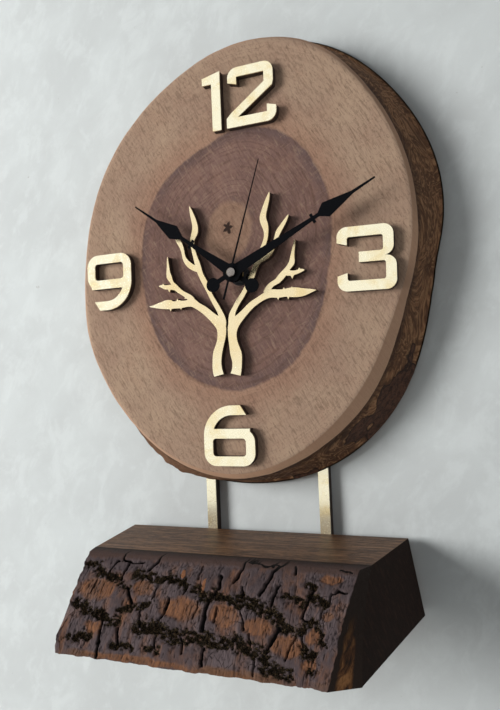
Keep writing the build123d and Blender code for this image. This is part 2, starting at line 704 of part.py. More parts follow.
def thorn(foot_x, foot_z, tip_x, tip_z):
    foot = (tree_width * foot_x, tree_height * foot_z, tree_width * thorn_width_share)
    tip = (tree_width * tip_x, tree_height * tip_z, 0)
    one_side, other_side = sides([foot, tip])
    return make_face(Polyline(*one_side, other_side[0], close=True))


for name, limbs, thorns in (("tree_left", left_limb_shares, left_thorn_shares),
                            ("tree_right", right_limb_shares, right_thorn_shares)):
    outline = Sketch() + [limb(stations) for stations in limbs] + [thorn(*row) for row in thorns]
    layered(name, [Pos(tree_foot_x, tree_foot_z) * outline])


# Wheels: straight-sided teeth with room to run, cut as one outline
def toothed(count, module, middle):
    """A toothed disc whose first tooth is centred on a direction in degrees."""
    pitch_radius = count * module / 2
    root = pitch_radius - dedendum_share * module
    tip = tip_radius(count, module)
    rows = ((root, -root_width_share), (pitch_radius, -waist_width_share), (tip, -tip_width_share),
            (tip, tip_width_share), (pitch_radius, waist_width_share), (root, root_width_share))
    points = []
    for tooth in range(count):
        for radius, share in rows:
            turn = math.radians(middle) + 2 * math.pi * (tooth + share) / count
            points.append((radius * math.cos(turn), radius * math.sin(turn)))
    return make_face(Polyline(*points, close=True))


half_turn = 180


def meshed(wheel, leaves, distance, direction):
    """The outlines of a wheel and of the pinion at a distance and direction from it, in mesh."""
    module = module_of(distance, wheel, leaves)
    gap_turn = direction + half_turn / wheel
    return toothed(wheel, module, gap_turn), toothed(leaves, module, direction + half_turn)


def reversed_mesh(wheel, leaves, distance, direction):
    """The same, where the pinion is at the start and the wheel lies at the distance."""
    return meshed(wheel, leaves, distance, direction + half_turn)


motion_line = (motion_distance, motion_direction)
third_line = (third_distance, third_direction)
intermediate_line = (intermediate_distance, intermediate_direction)
rotor_line = (rotor_distance, rotor_direction)
hour_wheel_shape, motion_pinion_shape = meshed(hour_teeth, motion_leaves, *motion_line)
motion_wheel_shape, cannon_shape = reversed_mesh(motion_teeth, cannon_leaves, *motion_line)
centre_wheel_shape, third_pinion_shape = meshed(centre_teeth, third_leaves, *third_line)
third_wheel_shape, seconds_pinion_shape = reversed_mesh(third_teeth, seconds_leaves, *third_line)
seconds_wheel_shape, intermediate_pinion_shape = meshed(seconds_teeth, intermediate_leaves,
                                                        *intermediate_line)
intermediate_wheel_shape, rotor_pinion_shape = meshed(motor_teeth, motor_leaves, *rotor_line)

# Depths, from the dial's face to the back of the case
plate_front = pocket_floor + gasket_thickness
plate_back = plate_front + case_wall
case_floor = case_back - case_wall  # inner face of the case's back
hour_level = plate_back + bushing_flange + end_play
motion_level = hour_level + wheel_thickness + layer_gap
centre_level = motion_level + wheel_thickness + layer_gap
bridge_front = centre_level + wheel_thickness + bridge_gap
bridge_back = bridge_front + bridge_thickness
third_level = bridge_back + bridge_gap
seconds_level = third_level + wheel_thickness + layer_gap
intermediate_level = seconds_level + wheel_thickness + layer_gap
magnet_front = intermediate_level + wheel_thickness + layer_gap
pivot_end = case_floor + pivot_depth
pivot_start = plate_back - pivot_depth
pivot_hole = pivot_radius + running


def wheel(shape, level, place=(0, 0), thickness=wheel_thickness):
    return slab(Pos(*place) * shape, level, level + thickness)


# The two tubes and the arbor that carry the hands, one inside the other
minute_bore = pivot_radius + tube_wall_gap
hour_bore = minute_tube_radius + tube_wall_gap
bushing_bore = hour_tube_radius + running
hour_tube_front = -(hour_hand_lift + hand_sheet)
minute_tube_front = -(minute_hand_lift + hand_sheet)
second_arbor_front = -(second_hand_lift + second_sheet)

hour_wheel = wheel(hour_wheel_shape, hour_level) + rod(hour_tube_radius, hour_tube_front, hour_level)
hour_wheel -= rod(hour_bore, hour_tube_front - overrun, hour_level + wheel_thickness + overrun)
keep("hour_wheel", hour_wheel)

minute_arbor = wheel(cannon_shape, motion_level) + rod(minute_tube_radius, minute_tube_front, bridge_back)
keep("minute_arbor", minute_arbor - rod(minute_bore, minute_tube_front - overrun, bridge_back + overrun))

clutch_bore = minute_tube_radius + running
keep("centre_wheel", wheel(centre_wheel_shape - Circle(clutch_bore), centre_level))

keep("motion_wheel", wheel(motion_wheel_shape, motion_level, motion_place)
     + wheel(motion_pinion_shape, hour_level, motion_place, wheel_thickness)
     + rod(motion_arbor_radius, pivot_start, case_back + layer_gap + knob_length, motion_place))

keep("third_wheel", wheel(third_wheel_shape, third_level, third_place)
     + wheel(third_pinion_shape, centre_level, third_place)
     + rod(pivot_radius, pivot_start, pivot_end, third_place))

keep("seconds_wheel", wheel(seconds_wheel_shape, seconds_level)
     + wheel(seconds_pinion_shape, third_level)
     + rod(pivot_radius, second_arbor_front, pivot_end))

keep("intermediate_wheel", wheel(intermediate_wheel_shape, intermediate_level, intermediate_place)
     + wheel(intermediate_pinion_shape, seconds_level, intermediate_place)
     + rod(pivot_radius, bridge_front, pivot_end, intermediate_place))

keep("rotor", wheel(rotor_pinion_shape, intermediate_level, rotor_place)
     + rod(magnet_radius, magnet_front, magnet_front + magnet_length, rotor_place)
     + rod(pivot_radius, bridge_front, pivot_end, rotor_place))

# Case, front plate and bridge
case_place = Pos(0, case_centre_z)
case_outline = RectangleRounded(case_width, case_height, case_corner)
room = Pos(0, (room_top + room_bottom) / 2) * Rectangle(inner_width, room_top - room_bottom)
bay = Pos(0, (bay_top + bay_bottom) / 2) * Rectangle(inner_width, bay_top - bay_bottom)
case = slab(case_place * case_outline, plate_back, case_back)
case -= slab(room, plate_back - overrun, case_floor)
case -= slab(bay, plate_back - overrun, case_back + overrun)
for place in ((0, 0), third_place, intermediate_place, rotor_place):
    case -= rod(pivot_hole, case_floor - overrun, pivot_end + end_play, place)
case -= rod(motion_arbor_radius + running, case_floor - overrun, case_back + overrun, motion_place)
arm_reach = (stator_length - stator_arm) / 2
arm_xs = (rotor_place[0] - arm_reach, rotor_place[0] + arm_reach)
stator_front = magnet_front + (magnet_length - stator_thickness) / 2
stator_back = stator_front + stator_thickness
for x in arm_xs:
    case += rod(post_radius, stator_back, case_floor, (x, coil_z))
keep("movement_case", case)

front_plate = slab(case_place * case_outline, plate_front, plate_back)
front_plate -= rod(bushing_radius + seat, plate_front - overrun, plate_back + overrun)
for place, radius in ((third_place, pivot_hole), (motion_place, motion_arbor_radius + running)):
    front_plate -= rod(radius, pivot_start - end_play, plate_back + overrun, place)
for place in ((left_post_x, upper_post_z), (right_post_x, upper_post_z), (0, foot_post_z)):
    front_plate += rod(post_radius, plate_back, bridge_front, place)
keep("movement_front_plate", front_plate)

bridge_left = left_post_x - bridge_edge
bridge_right = right_post_x + bridge_edge
bridge_top = upper_post_z + bridge_edge
bridge_foot = foot_post_z - post_radius
bridge_corners = ((bridge_left, bridge_top), (bridge_right, bridge_top), (bridge_right, -bridge_right_drop),
                  (bridge_edge, bridge_foot), (-bridge_edge, bridge_foot), (bridge_left, -bridge_left_drop))
bridge = slab(make_face(Polyline(*bridge_corners, close=True)), bridge_front, bridge_back)
bridge -= rod(minute_tube_radius + running, bridge_front - overrun, bridge_back + overrun)
bridge -= rod(motion_arbor_radius + running, bridge_front - overrun, bridge_back + overrun, motion_place)
for place in (third_place, intermediate_place, rotor_place):
    bridge -= rod(pivot_hole, bridge_front - overrun, bridge_back + overrun, place)
keep("train_bridge", bridge)

knob_front = case_back + layer_gap
knob_back = knob_front + knob_length
knob_outline = Circle(knob_radius)
for k in range(knob_flutes):
    knob_outline -= Pos(*at(knob_radius, k * 360 / knob_flutes)) * Circle(flute_radius)
knob = slab(Pos(*motion_place) * knob_outline, knob_front, knob_back)
keep("setting_knob", knob - rod(motion_arbor_radius + seat, knob_front - overrun,
                                knob_back + overrun, motion_place))

# What holds the movement to the dial
nut_front = -(washer_thickness + nut_thickness)
bushing = rod(bushing_radius, nut_front - thread_beyond_nut, plate_back)
bushing += rod(bushing_flange_radius, plate_back, plate_back + bushing_flange)
keep("threaded_bushing", bushing - rod(bushing_bore, nut_front - thread_beyond_nut - overrun,
                                       plate_back + bushing_flange + overrun))
keep("rubber_gasket", tube(gasket_radius, bushing_radius + seat, pocket_floor, plate_front))
keep("dial_washer", tube(washer_radius, bushing_radius + seat, -washer_thickness, 0))
nut_outline = RegularPolygon(nut_across_flats / 2, 6, major_radius=False) - Circle(bushing_radius + seat)
keep("hex_nut", slab(nut_outline, nut_front, -washer_thickness))

# Motor
stator_outline = Pos(*rotor_place) * Rectangle(stator_length, stator_height)
arm_height = coil_rise + core_height / 2
for x in arm_xs:
    stator_outline += Pos(x, rotor_place[1] + arm_height / 2) * Rectangle(stator_arm, arm_height)
stator_outline -= Pos(*rotor_place) * Circle(magnet_radius + stator_gap)
keep("stator", slab(stator_outline, stator_front, stator_back))
core_front = stator_front - core_thickness
core_place = Pos(rotor_place[0], coil_z)
keep("coil_core", slab(core_place * Rectangle(stator_length, core_height), core_front, stator_front))
coil_axis = Plane.YZ * Pos((core_front + stator_front) / 2, coil_z)
winding = extrude(coil_axis * Circle(coil_radius), amount=coil_length / 2, both=True)
core_room = slab(core_place * Rectangle(stator_length, core_height + 2 * seat),
                 core_front - seat, stator_front + seat)
keep("coil", Pos(rotor_place[0], 0, 0) * winding - core_room)

# Battery, its contacts and the board
bay_middle = (bay_top + bay_bottom) / 2
battery_y = plate_back + battery_gap + battery_radius
battery_axis = Plane.YZ * Pos(battery_y, bay_middle)


def along(outline, start, end):
    """An outline across the battery, made solid along X."""
    return Pos(start, 0, 0) * extrude(outline, amount=end - start)


cell_start = -battery_length / 2
cell_end = battery_length / 2 - battery_nub
keep("battery", along(battery_axis * Circle(battery_radius), cell_start, cell_end)
     + along(battery_axis * Circle(battery_nub_radius), cell_end, cell_end + battery_nub))
contacts = []
for side, reach in ((-1, -cell_start), (1, cell_end + battery_nub)):
    wall_x = inner_width / 2
    plate = along(battery_axis * Rectangle(contact_side, contact_side), wall_x - contact_thickness, wall_x)
    boss = along(battery_axis * Circle(contact_boss_radius), reach + seat, wall_x - contact_thickness)
    contact = plate + boss
    contacts.append(contact if side > 0 else mirror(contact, about=Plane.YZ))
keep("battery_contacts", *contacts)

board_x = inner_width / 2 - board_margin - board_width / 2
board_z = room_bottom + board_margin + board_height / 2
board_front = case_floor - board_thickness
board = slab(Pos(board_x, board_z) * Rectangle(board_width, board_height), board_front, case_floor)
chip = Plane.XZ.offset(-board_front) * Pos(board_x, board_z - chip_radius)
board += extrude(chip * Circle(chip_radius), amount=chip_height, taper=chip_draft)
keep("circuit_board", board)
crystal_z = board_z + board_height / 2 - 2 * crystal_radius
crystal_axis = Plane.YZ * Pos(board_front - crystal_radius - seat, crystal_z)
keep("quartz_crystal", along(crystal_axis * Circle(crystal_radius), board_x - crystal_length / 2,
                             board_x + crystal_length / 2))


# Hands, drawn upright and turned to the time
def upright_disc(radius, z=0):
    return Pos(0, z) * Circle(radius)


def mirrored(points):
    """An outline from its right half, listed upwards."""
    return make_face(Polyline(*points, *[(-x, z) for x, z in reversed(points)], close=True))


def spade_hand(length, shares):
    """A tapering arm, a short crossbar, a spade and a fine rod, with a round counterweight."""
    z_bar, z_neck, z_spade, z_rod = [length * share for share in shares]
    foot, neck, rod_half = arm_foot_width / 2, arm_neck_width / 2, spade_rod_width / 2
    crossbar, spade, weight_neck = crossbar_width / 2, spade_width / 2, weight_neck_width / 2
    bar_half = crossbar_height / 2
    swell = (spade * spade_swell_share + rod_half, (z_spade + z_rod) / 2)
    blade = make_face([Line((0, z_neck), (neck, z_neck)), Line((neck, z_neck), (spade, z_spade)),
                       ThreePointArc((spade, z_spade), swell, (rod_half, z_rod)),
                       Line((rod_half, z_rod), (rod_half / 2, length)),
                       Line((rod_half / 2, length), (0, length)),
                       Line((0, length), (0, z_neck))])
    return Sketch() + [mirrored([(foot, 0), (neck, z_bar)]),
                       mirrored([(crossbar, z_bar - bar_half), (crossbar, z_bar + bar_half)]),
                       mirrored([(neck, z_bar), (neck, z_neck)]), blade, mirror(blade, about=Plane.YZ),
                       mirrored([(weight_neck, -weight_distance), (weight_neck, 0)]),
                       upright_disc(hand_hub_radius), upright_disc(weight_radius, -weight_distance)]


def hand(shape, lift, sheet, bore, angle):
    """A sheet hand with a short collar behind it, pushed on a tube or arbor."""
    body = slab(shape, -lift - sheet, -lift)
    body += rod(bore + collar_wall, -lift, -lift + collar_length)
    body -= rod(bore, -lift - sheet - overrun, -lift + collar_length + overrun)
    return Rot(0, angle, 0) * body


minute_shape = spade_hand(minute_hand_length, minute_shares)
hour_shape = spade_hand(hour_hand_length, hour_shares)
keep("minute_hand", hand(minute_shape, minute_hand_lift, hand_sheet, minute_tube_radius + seat,
                         minute_angle))
keep("hour_hand", hand(hour_shape, hour_hand_lift, hand_sheet, hour_tube_radius + seat, hour_angle))
needle = mirrored([(second_tail_width / 2, -second_tail), (second_tip_width / 2, second_hand_length)])
second_shape = Sketch() + [needle, upright_disc(cap_radius)]
keep("second_hand", hand(second_shape, second_hand_lift, second_sheet, pivot_radius + seat, second_angle))
dome_radius = (cap_radius ** 2 + cap_height ** 2) / (2 * cap_height)
cap_back = second_arbor_front
dome = Pos(0, cap_back - cap_height + dome_radius, 0) * Sphere(dome_radius)
keep("centre_cap", dome & rod(cap_radius + overrun, cap_back - cap_height - overrun, cap_back))

for name, shape in nodes.items():
    export_step(shape, f"parts/{name}.step")
    print(name, round(shape.volume, 2), "mm3")
print(len(nodes), "nodes")
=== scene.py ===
import json
import math
import bpy
import numpy as np
from mathutils import Matrix, Vector


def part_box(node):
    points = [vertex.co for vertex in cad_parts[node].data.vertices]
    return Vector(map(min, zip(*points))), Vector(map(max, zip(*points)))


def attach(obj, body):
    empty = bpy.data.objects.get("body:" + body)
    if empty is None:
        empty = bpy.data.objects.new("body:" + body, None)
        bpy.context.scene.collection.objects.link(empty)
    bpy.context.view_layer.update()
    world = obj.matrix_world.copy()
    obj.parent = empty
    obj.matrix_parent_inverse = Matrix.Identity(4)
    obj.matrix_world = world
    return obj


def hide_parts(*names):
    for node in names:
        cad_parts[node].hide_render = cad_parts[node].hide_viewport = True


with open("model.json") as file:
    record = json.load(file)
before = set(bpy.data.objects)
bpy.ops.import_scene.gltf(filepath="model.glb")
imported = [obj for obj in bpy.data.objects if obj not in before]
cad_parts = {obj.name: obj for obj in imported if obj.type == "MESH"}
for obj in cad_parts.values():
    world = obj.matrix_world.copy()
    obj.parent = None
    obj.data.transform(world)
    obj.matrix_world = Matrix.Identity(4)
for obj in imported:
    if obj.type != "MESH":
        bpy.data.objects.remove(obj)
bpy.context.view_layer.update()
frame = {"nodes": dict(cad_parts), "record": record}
nodes = frame["nodes"]
print("frame loaded,", len(nodes), "nodes")

arborX, arborZ = -0.0017, -0.104  # the hands' arbor, in metres
shelfMiddleX = -0.0052
fullTurn = 2 * math.pi


def tone(red, green, blue):
    # a colour picked on screen, 0 to 255, turned into the linear values that shaders use
    shares = [level / 255 for level in (red, green, blue)]
    return tuple(c / 12.92 if c < 0.04045 else ((c + 0.055) / 1.055) ** 2.4 for c in shares) + (1.0,)


scatter = (374761393, 668265263, 1440662683, 974634777, 1274126177)  # large numbers that mix up small ones


def softNoise(x, y, z, seed=0):
    # random numbers on whole-number lattice points, eased between the eight nearest ones; -1 to 1
    cell = [np.floor(c).astype(np.int64) for c in (x, y, z)]
    part = [c - k for c, k in zip((x, y, z), cell)]
    ease = [t * t * t * (t * (6 * t - 15) + 10) for t in part]

    def corner(a, b, c):
        mix = (cell[0] + a) * scatter[0] + (cell[1] + b) * scatter[1] + (cell[2] + c) * scatter[2]
        mix = (mix + seed * scatter[3]) & 0xffffffff
        mix = (mix ^ (mix >> 13)) * scatter[4] & 0xffffffff
        return ((mix ^ (mix >> 16)) & 0xffff) / 32767.5 - 1

    def blendX(b, c):
        return corner(0, b, c) * (1 - ease[0]) + corner(1, b, c) * ease[0]

    low = blendX(0, 0) * (1 - ease[1]) + blendX(1, 0) * ease[1]
    high = blendX(0, 1) * (1 - ease[1]) + blendX(1, 1) * ease[1]
    return low * (1 - ease[2]) + high * ease[2]


def layeredNoise(x, y, z, octaves=4, seed=0):
    # octaves of softNoise, each twice as fine and half as strong, divided by their total strength
    total, strength, weight = 0.0, 1.0, 0.0
    for k in range(octaves):
        total = total + strength * softNoise(x * 2 ** k, y * 2 ** k, z * 2 ** k, seed + 17 * k)
        weight += strength
        strength *= 0.5
    return total / weight


def easeStep(value, low, high):
    # 0 below low, 1 above high, and a smooth S between
    t = np.clip((value - low) / (high - low), 0, 1)
    return t * t * (3 - 2 * t)


def bell(value, middle, spread):
    return np.exp(-((value - middle) / spread) ** 2)


def linked(name, data):
    thing = bpy.data.objects.new(name, data)
    bpy.context.scene.collection.objects.link(thing)
    return thing


def newPiece(name, points, faces, fields, stands=()):
    # a mesh with its own values at each point, in place of the CAD nodes that it stands for
    mesh = bpy.data.meshes.new(name)
    mesh.from_pydata(points.tolist(), [], faces.tolist())
    for label, values in fields.items():
        values = values.reshape(-1).astype(np.float32)
        mesh.attributes.new(label, "FLOAT", "POINT").data.foreach_set("value", values)
    piece = linked(name, mesh)
    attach(piece, "clock_frame")
    if stands:
        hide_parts(*stands)
    return piece


def surface(name, grid, fields, stands, wrapU=False, extra=None, crease=50):
    # a grid of points in two parameters, closed in the second, as four-sided faces that point outwards
    countU, countV = grid.shape[:2]
    rowU = np.arange(countU if wrapU else countU - 1)[:, None]
    rowV = np.arange(countV)[None, :]
    nextU, nextV = (rowU + 1) % countU, (rowV + 1) % countV
    quads = np.stack([rowU * countV + rowV, nextU * countV + rowV, nextU * countV + nextV,
                      rowU * countV + nextV], -1).reshape(-1, 4)
    if extra is not None:
        quads = np.vstack([quads, extra])
    points = grid.reshape(-1, 3)
    a, b, c, d = (points[quads[:, k]] for k in range(4))
    volume = np.einsum("ij,ij", a, np.cross(b, c)) + np.einsum("ij,ij", a, np.cross(c, d))
    if volume < 0:
        quads = quads[:, ::-1]
    piece = newPiece(name, points, quads, fields, stands)
    piece.data.polygons.foreach_set("use_smooth", np.ones(len(piece.data.polygons), bool))
    piece.data.set_sharp_from_angle(angle=math.radians(crease))
    return piece


slice_ = {
    "turns": 600, "frontRings": 46, "sideRings": 30, "backRings": 56,
    "pith": (-0.0092, -0.0706),  # the tree's first ring
    "shaftHole": 0.00425, "pocketHalf": 0.030, "pocketCorner": 0.006, "pocketLow": -0.0015,
    "pocketFloor": -0.0205, "screwPocket": 0.0062, "screwPocketFloor": -0.009,
    "heartCentre": (-0.00635, -0.0888), "heartHalf": (0.06925, 0.0893),
    # reading the node's outline: depths that count as one, a window in radians, the least share of its reach
    "sameDepth": 2e-5, "rimWindow": 0.06, "rimShare": 0.965,
    "rimWave": 0.0007, "sideWave": 0.0022, "sideRidge": 0.0007, "barkLift": 0.0012, "barkRough": 0.0009,
    "waveFront": 0.12, "waveBack": 0.03,  # shares of the side where the waves rise and fade
    "ridgesPerMetre": 700, "ridgeSwirl": 5.5, "ridgeSlant": 2,
    "bevelNarrow": 0.002, "bevelWide": 0.0052,
    "bevelTurn": -0.8, "bevelSpread": 0.55,  # where the bevel is broad, in radians
    "bevelDrawn": 0.62, "drawnSpread": 0.95,  # away from there the face reaches nearly to the rim
    # low at the left the trunk spreads just behind the face
    "ledgeTurn": -1.97, "ledgeSpread": 0.31, "ledgeStart": 0.03, "ledgeFront": 0.2,
    "ledgeFull": 0.72, "ledgeUneven": 0.2,
    "barkTurns": (-0.83, -2.2), "barkSpread": (0.5, 0.42),  # bark is left at the lower right and lower left
    "barkPatchy": 0.6, "barkLow": 0.62, "barkEdge": (0.98, 1.04),
    # noises round the trunk: lumps per radius, lumps per metre of depth, octaves, seed
    "rimLumps": (5, 1, 3, 5), "edgeLumps": (9, 1, 3, 8), "sideLumps": (3.2, 55, 4, 31),
    "barkLumps": (4.5, 70, 4, 44), "ledgeNicks": (24, 0, 3, 57), "barkGrit": (60, 500, 2, 51),
    "swirlLumps": (60, 90, 3, 21),
}
# the heartwood's edge every 15 degrees from 3 o'clock, as a share of its oval
heartShares = (0.983, 1.033, 1.04, 1.033, 1.011, 0.961, 0.927, 0.884, 0.896, 0.945, 0.994, 1.014,
               1.024, 1.03, 1.056, 1.057, 1.043, 1.034, 1.036, 1.017, 1.019, 1.011, 0.986, 0.963)


def roundRadius(turns, angle, reach):
    # a closed outline, given as angles and distances in any order, read at each turn
    order = np.argsort(angle)
    return np.interp(turns, angle[order], reach[order], period=fullTurn)


def rimRadius(s, points, level, turns):
    # the node's own outline at one depth: distance from the arbor, read at each angle. Points well inside
    # the farthest one nearby belong to grooves and screw holes and are left out.
    rim = points[np.abs(points[:, 1] - level) < s["sameDepth"]]
    acrossX, upZ = rim[:, 0] - arborX, rim[:, 2] - arborZ
    reach, angle = np.hypot(acrossX, upZ), np.arctan2(upZ, acrossX)
    apart = np.abs((angle[:, None] - angle[None, :] + math.pi) % fullTurn - math.pi)
    farthest = np.where(apart < s["rimWindow"], reach[None, :], 0).max(1)
    keep = reach > s["rimShare"] * farthest
    return roundRadius(turns, angle[keep], reach[keep])


def roundedBoxRadius(half, corner, low, turns):
    # distance from the arbor to a square with round corners: its border as many points, read at each angle
    bend = np.linspace(0, math.pi / 2, 40)
    inner = half - corner
    quarter = [(inner * sx + corner * np.cos(bend + k), inner * sz + corner * np.sin(bend + k))
               for k, (sx, sz) in zip(np.arange(4) * math.pi / 2, ((1, 1), (-1, 1), (-1, -1), (1, -1)))]
    x, z = (np.concatenate([q[k] for q in quarter]) for k in (0, 1))
    along = np.linspace(0, 1, 60)
    x, z = ((c[:, None] + (np.roll(c, -1) - c)[:, None] * along).reshape(-1) for c in (x, z + low))
    return roundRadius(turns, np.arctan2(z, x), np.hypot(x, z))


def roundTrunk(turn, depth, lumps, deepLumps, octaves, seed):
    # layered noise that closes on itself round the trunk
    return layeredNoise(np.cos(turn) * lumps, np.sin(turn) * lumps, depth * deepLumps, octaves, seed)


def trunkSlice(s):
    # a closed profile carried round the arbor: shaft hole, front face, bevel, flared side, back face,
    # movement pocket and back to the hole. Radius at each angle = the CAD outline less waves and ridges.
    vertices = nodes["dial_slice"].data.vertices
    points = np.empty(len(vertices) * 3, np.float32)
    vertices.foreach_get("co", points)
    points = points.reshape(-1, 3).astype(float)
    front, back = points[:, 1].min(), points[:, 1].max()
    edge = front + s["bevelNarrow"]
    turns = np.linspace(-math.pi, math.pi, s["turns"], endpoint=False)
    rimFront, rimBevel, rimBack = (rimRadius(s, points, level, turns) for level in (front, edge, back))
    broad = bell(turns, s["bevelTurn"], s["bevelSpread"]) * (s["bevelWide"] - s["bevelNarrow"])
    bevel = edge + broad
    rimBevel = rimBevel + (rimBack - rimBevel) * broad / (back - edge)
    narrow = s["bevelDrawn"] * (1 - bell(turns, s["bevelTurn"], s["drawnSpread"]))
    frontWave = 0.5 + 0.5 * roundTrunk(turns, turns * 0, *s["rimLumps"])
    rimFront = rimFront + (rimBevel - rimFront) * narrow - s["rimWave"] * frontWave
    rimBevel = rimBevel - s["rimWave"] * (0.5 + 0.5 * roundTrunk(turns, turns * 0 + 3, *s["edgeLumps"]))
    pocket = roundedBoxRadius(s["pocketHalf"], s["pocketCorner"], s["pocketLow"], turns)
    hole = np.full_like(turns, s["shaftHole"])
    stations = []  # radius, depth, zone: 0 front, 0.5 bevel, 1 side, 2 back and inside

    def run(radiusA, radiusB, depthA, depthB, shares, zone):
        for share in shares:
            depth = turns * 0 + depthA + (depthB - depthA) * share
            stations.append((radiusA + (radiusB - radiusA) * share, depth, turns * 0 + zone))

    run(hole, rimFront, front, front, np.linspace(0, 1, s["frontRings"]), 0)
    run(rimFront, rimBevel, front, bevel, (0.04, 0.5, 0.96), 0.5)
    run(rimBevel, rimBack, bevel, back, np.linspace(0, 1, s["sideRings"]), 1)
    run(rimBack, pocket, back, back, np.linspace(0.003, 1, s["backRings"]), 2)
    run(pocket, pocket, back, s["pocketFloor"], (0.02, 0.5, 0.98, 1), 2)
    run(pocket, hole, s["pocketFloor"], s["pocketFloor"], (0.02, 0.3, 0.6, 0.98, 1), 2)
    run(hole, hole, s["pocketFloor"], front, (0.02, 0.5, 0.97), 2)
    radius, depth, zone = (np.stack(rows, 1) for rows in zip(*stations))
    turn = np.repeat(turns[:, None], radius.shape[1], 1)
    side = (zone == 1).astype(float)
    downSide = np.clip((depth - bevel[:, None]) / (back - bevel[:, None]), 0, 1)
    # long low waves round the trunk, ridges that follow its growth, and bark left low down near the back
    lumps, deepLumps, octaves, seed = s["swirlLumps"]
    swirl = layeredNoise(radius * np.cos(turn) * lumps, depth * deepLumps, radius * np.sin(turn) * lumps,
                         octaves, seed)
    waves = 0.5 + 0.5 * roundTrunk(turn, depth, *s["sideLumps"])
    ridges = depth * s["ridgesPerMetre"] + swirl * s["ridgeSwirl"] + np.cos(turn) * s["ridgeSlant"]
    ridges = np.abs(np.sin(ridges))
    spot = sum(bell(turn, place, spread) for place, spread in zip(s["barkTurns"], s["barkSpread"]))
    bark = s["barkPatchy"] * roundTrunk(turn, depth, *s["barkLumps"]) + s["barkLow"] * (spot + downSide)
    bark = easeStep(bark, *s["barkEdge"]) * side
    fade = side * easeStep(downSide, 0.0, s["waveFront"]) * easeStep(1 - downSide, 0.0, s["waveBack"])
    ledge = bell(turn, s["ledgeTurn"], s["ledgeSpread"]) * side
    uneven = s["ledgeFull"] + s["ledgeUneven"] * (waves + roundTrunk(turn, depth, *s["ledgeNicks"]))
    early = np.clip(easeStep(downSide, s["ledgeStart"], s["ledgeFront"]) - downSide, 0, 1) * uneven
    radius = radius + ledge * early * (rimBack - rimBevel)[:, None]
    radius = radius - fade * (s["sideWave"] * waves + s["sideRidge"] * (1 - ridges))
    radius = radius - side * s["barkLift"] * (1 - bark) * downSide
    radius = radius - bark * s["barkRough"] * (0.5 + 0.5 * roundTrunk(turn, depth, *s["barkGrit"]))
    x, z = arborX + radius * np.cos(turn), arborZ + radius * np.sin(turn)
    inScrewPocket = (np.hypot(x, z) < s["screwPocket"]) & (zone == 2) & (depth > back - 1e-6)
    depth = np.where(inScrewPocket, s["screwPocketFloor"], depth)
    # growth: 0 at the pith and 1 at the rim along each line out from the pith
    pithX, pithZ = s["pith"]

    def growth(outline):
        rimX, rimZ = arborX + outline * np.cos(turns) - pithX, arborZ + outline * np.sin(turns) - pithZ
        rim = roundRadius(np.arctan2(z - pithZ, x - pithX), np.arctan2(rimZ, rimX), np.hypot(rimX, rimZ))
        return np.hypot(x - pithX, z - pithZ) / rim

    ring = np.where(zone < 1, growth(rimFront), growth(rimBack))
    heartX, heartZ = ((c - mid) / half for c, mid, half in zip((x, z), s["heartCentre"], s["heartHalf"]))
    heartTurns = np.arange(len(heartShares)) * fullTurn / len(heartShares)
    oval = np.interp(np.arctan2(heartZ, heartX), heartTurns, heartShares, period=fullTurn)
    fields = {"ring": ring, "heart": np.hypot(heartX, heartZ) / oval, "zone": zone, "downSide": downSide,
              "barkPatch": bark, "ledge": ledge}
    return surface("trunkSlice", np.stack([x, depth, z], -1), fields, ["dial_slice"], wrapU=True)


bark_ = {
    "columns": 398, "rows": 124, "sizeAlong": 190.0, "sizeDown": 63.8,  # the last two in millimetres
    "topFront": -0.077, "footFront": -0.119, "top": -0.2795, "foot": -0.3275, "thick": 0.0106,
    "half": 0.1015, "endFlare": 0.17, "endTaper": 0.16, "wall": -0.002, "crown": 0.004,
    "crackDepth": 0.0042, "mossDepth": 0.0026, "flakeDepth": 0.0007, "splitDepth": 0.0005, "splitWide": 0.07,
    "plateLift": 0.0009, "swellMiddle": 0.55, "chipLift": 0.0014, "grit": 0.00025, "leastDepth": 0.00015,
    "warp": (1.3, 1.6),  # how far the cracks stray along and down, in millimetres
    "mossWiden": 1.35, "mossFull": 1.2, "mossRagged": (0.7, 1.1), "mossUneven": (0.75, 0.35),
    "flakeUneven": 0.3, "flakeEdge": (-0.08, 0.34), "chipSize": 1.3, "chipEdge": (0.2, 0.5),
    "borderFlat": 0.65, "stripFlat": 0.7, "footTuck": 0.6, "splitShown": 0.05,
    # shares down the front: the smooth strip's lower edge, the flatter border, the start of the worn foot
    "stripEdge": (0.035, 0.075), "stripUneven": 0.02, "border": 0.05, "footStart": 0.86, "footWorn": 0.0016,
    # how far the ends are broken away at the top and the foot, and the left end's notch: depth, place, spread
    "drawnRight": (0.003, 0.013), "rightReach": 0.2, "rightBow": 1.2, "rightUneven": 0.16,
    "drawnLeft": 0.003, "leftReach": 0.25, "leftRough": 0.0022, "leftRoughReach": 0.05,
    "leftNotch": (0.005, 0.61, 0.035), "lip": 0.0003,  # the lip keeps each end's own row apart
    # noises over the front: lump size along and down in millimetres, octaves, seed
    "warpAlong": (5, 5, 3, 3), "warpDown": (5, 5, 3, 4, 9), "mossLumps": (2.0, 1.5, 4, 6),
    "flakeLumps": (5, 8, 4, 12), "swell": (22, 14, 4, 15), "fine": (2.2, 5.5, 4, 18),
    "splits": (2.6, 16, 3, 23), "stripLumps": (9, 9, 3, 61), "footLumps": (7, 0, 3, 26),
    "leftLumps": (0, 6, 3, 29), "rightLumps": (0, 5, 3, 33),
}
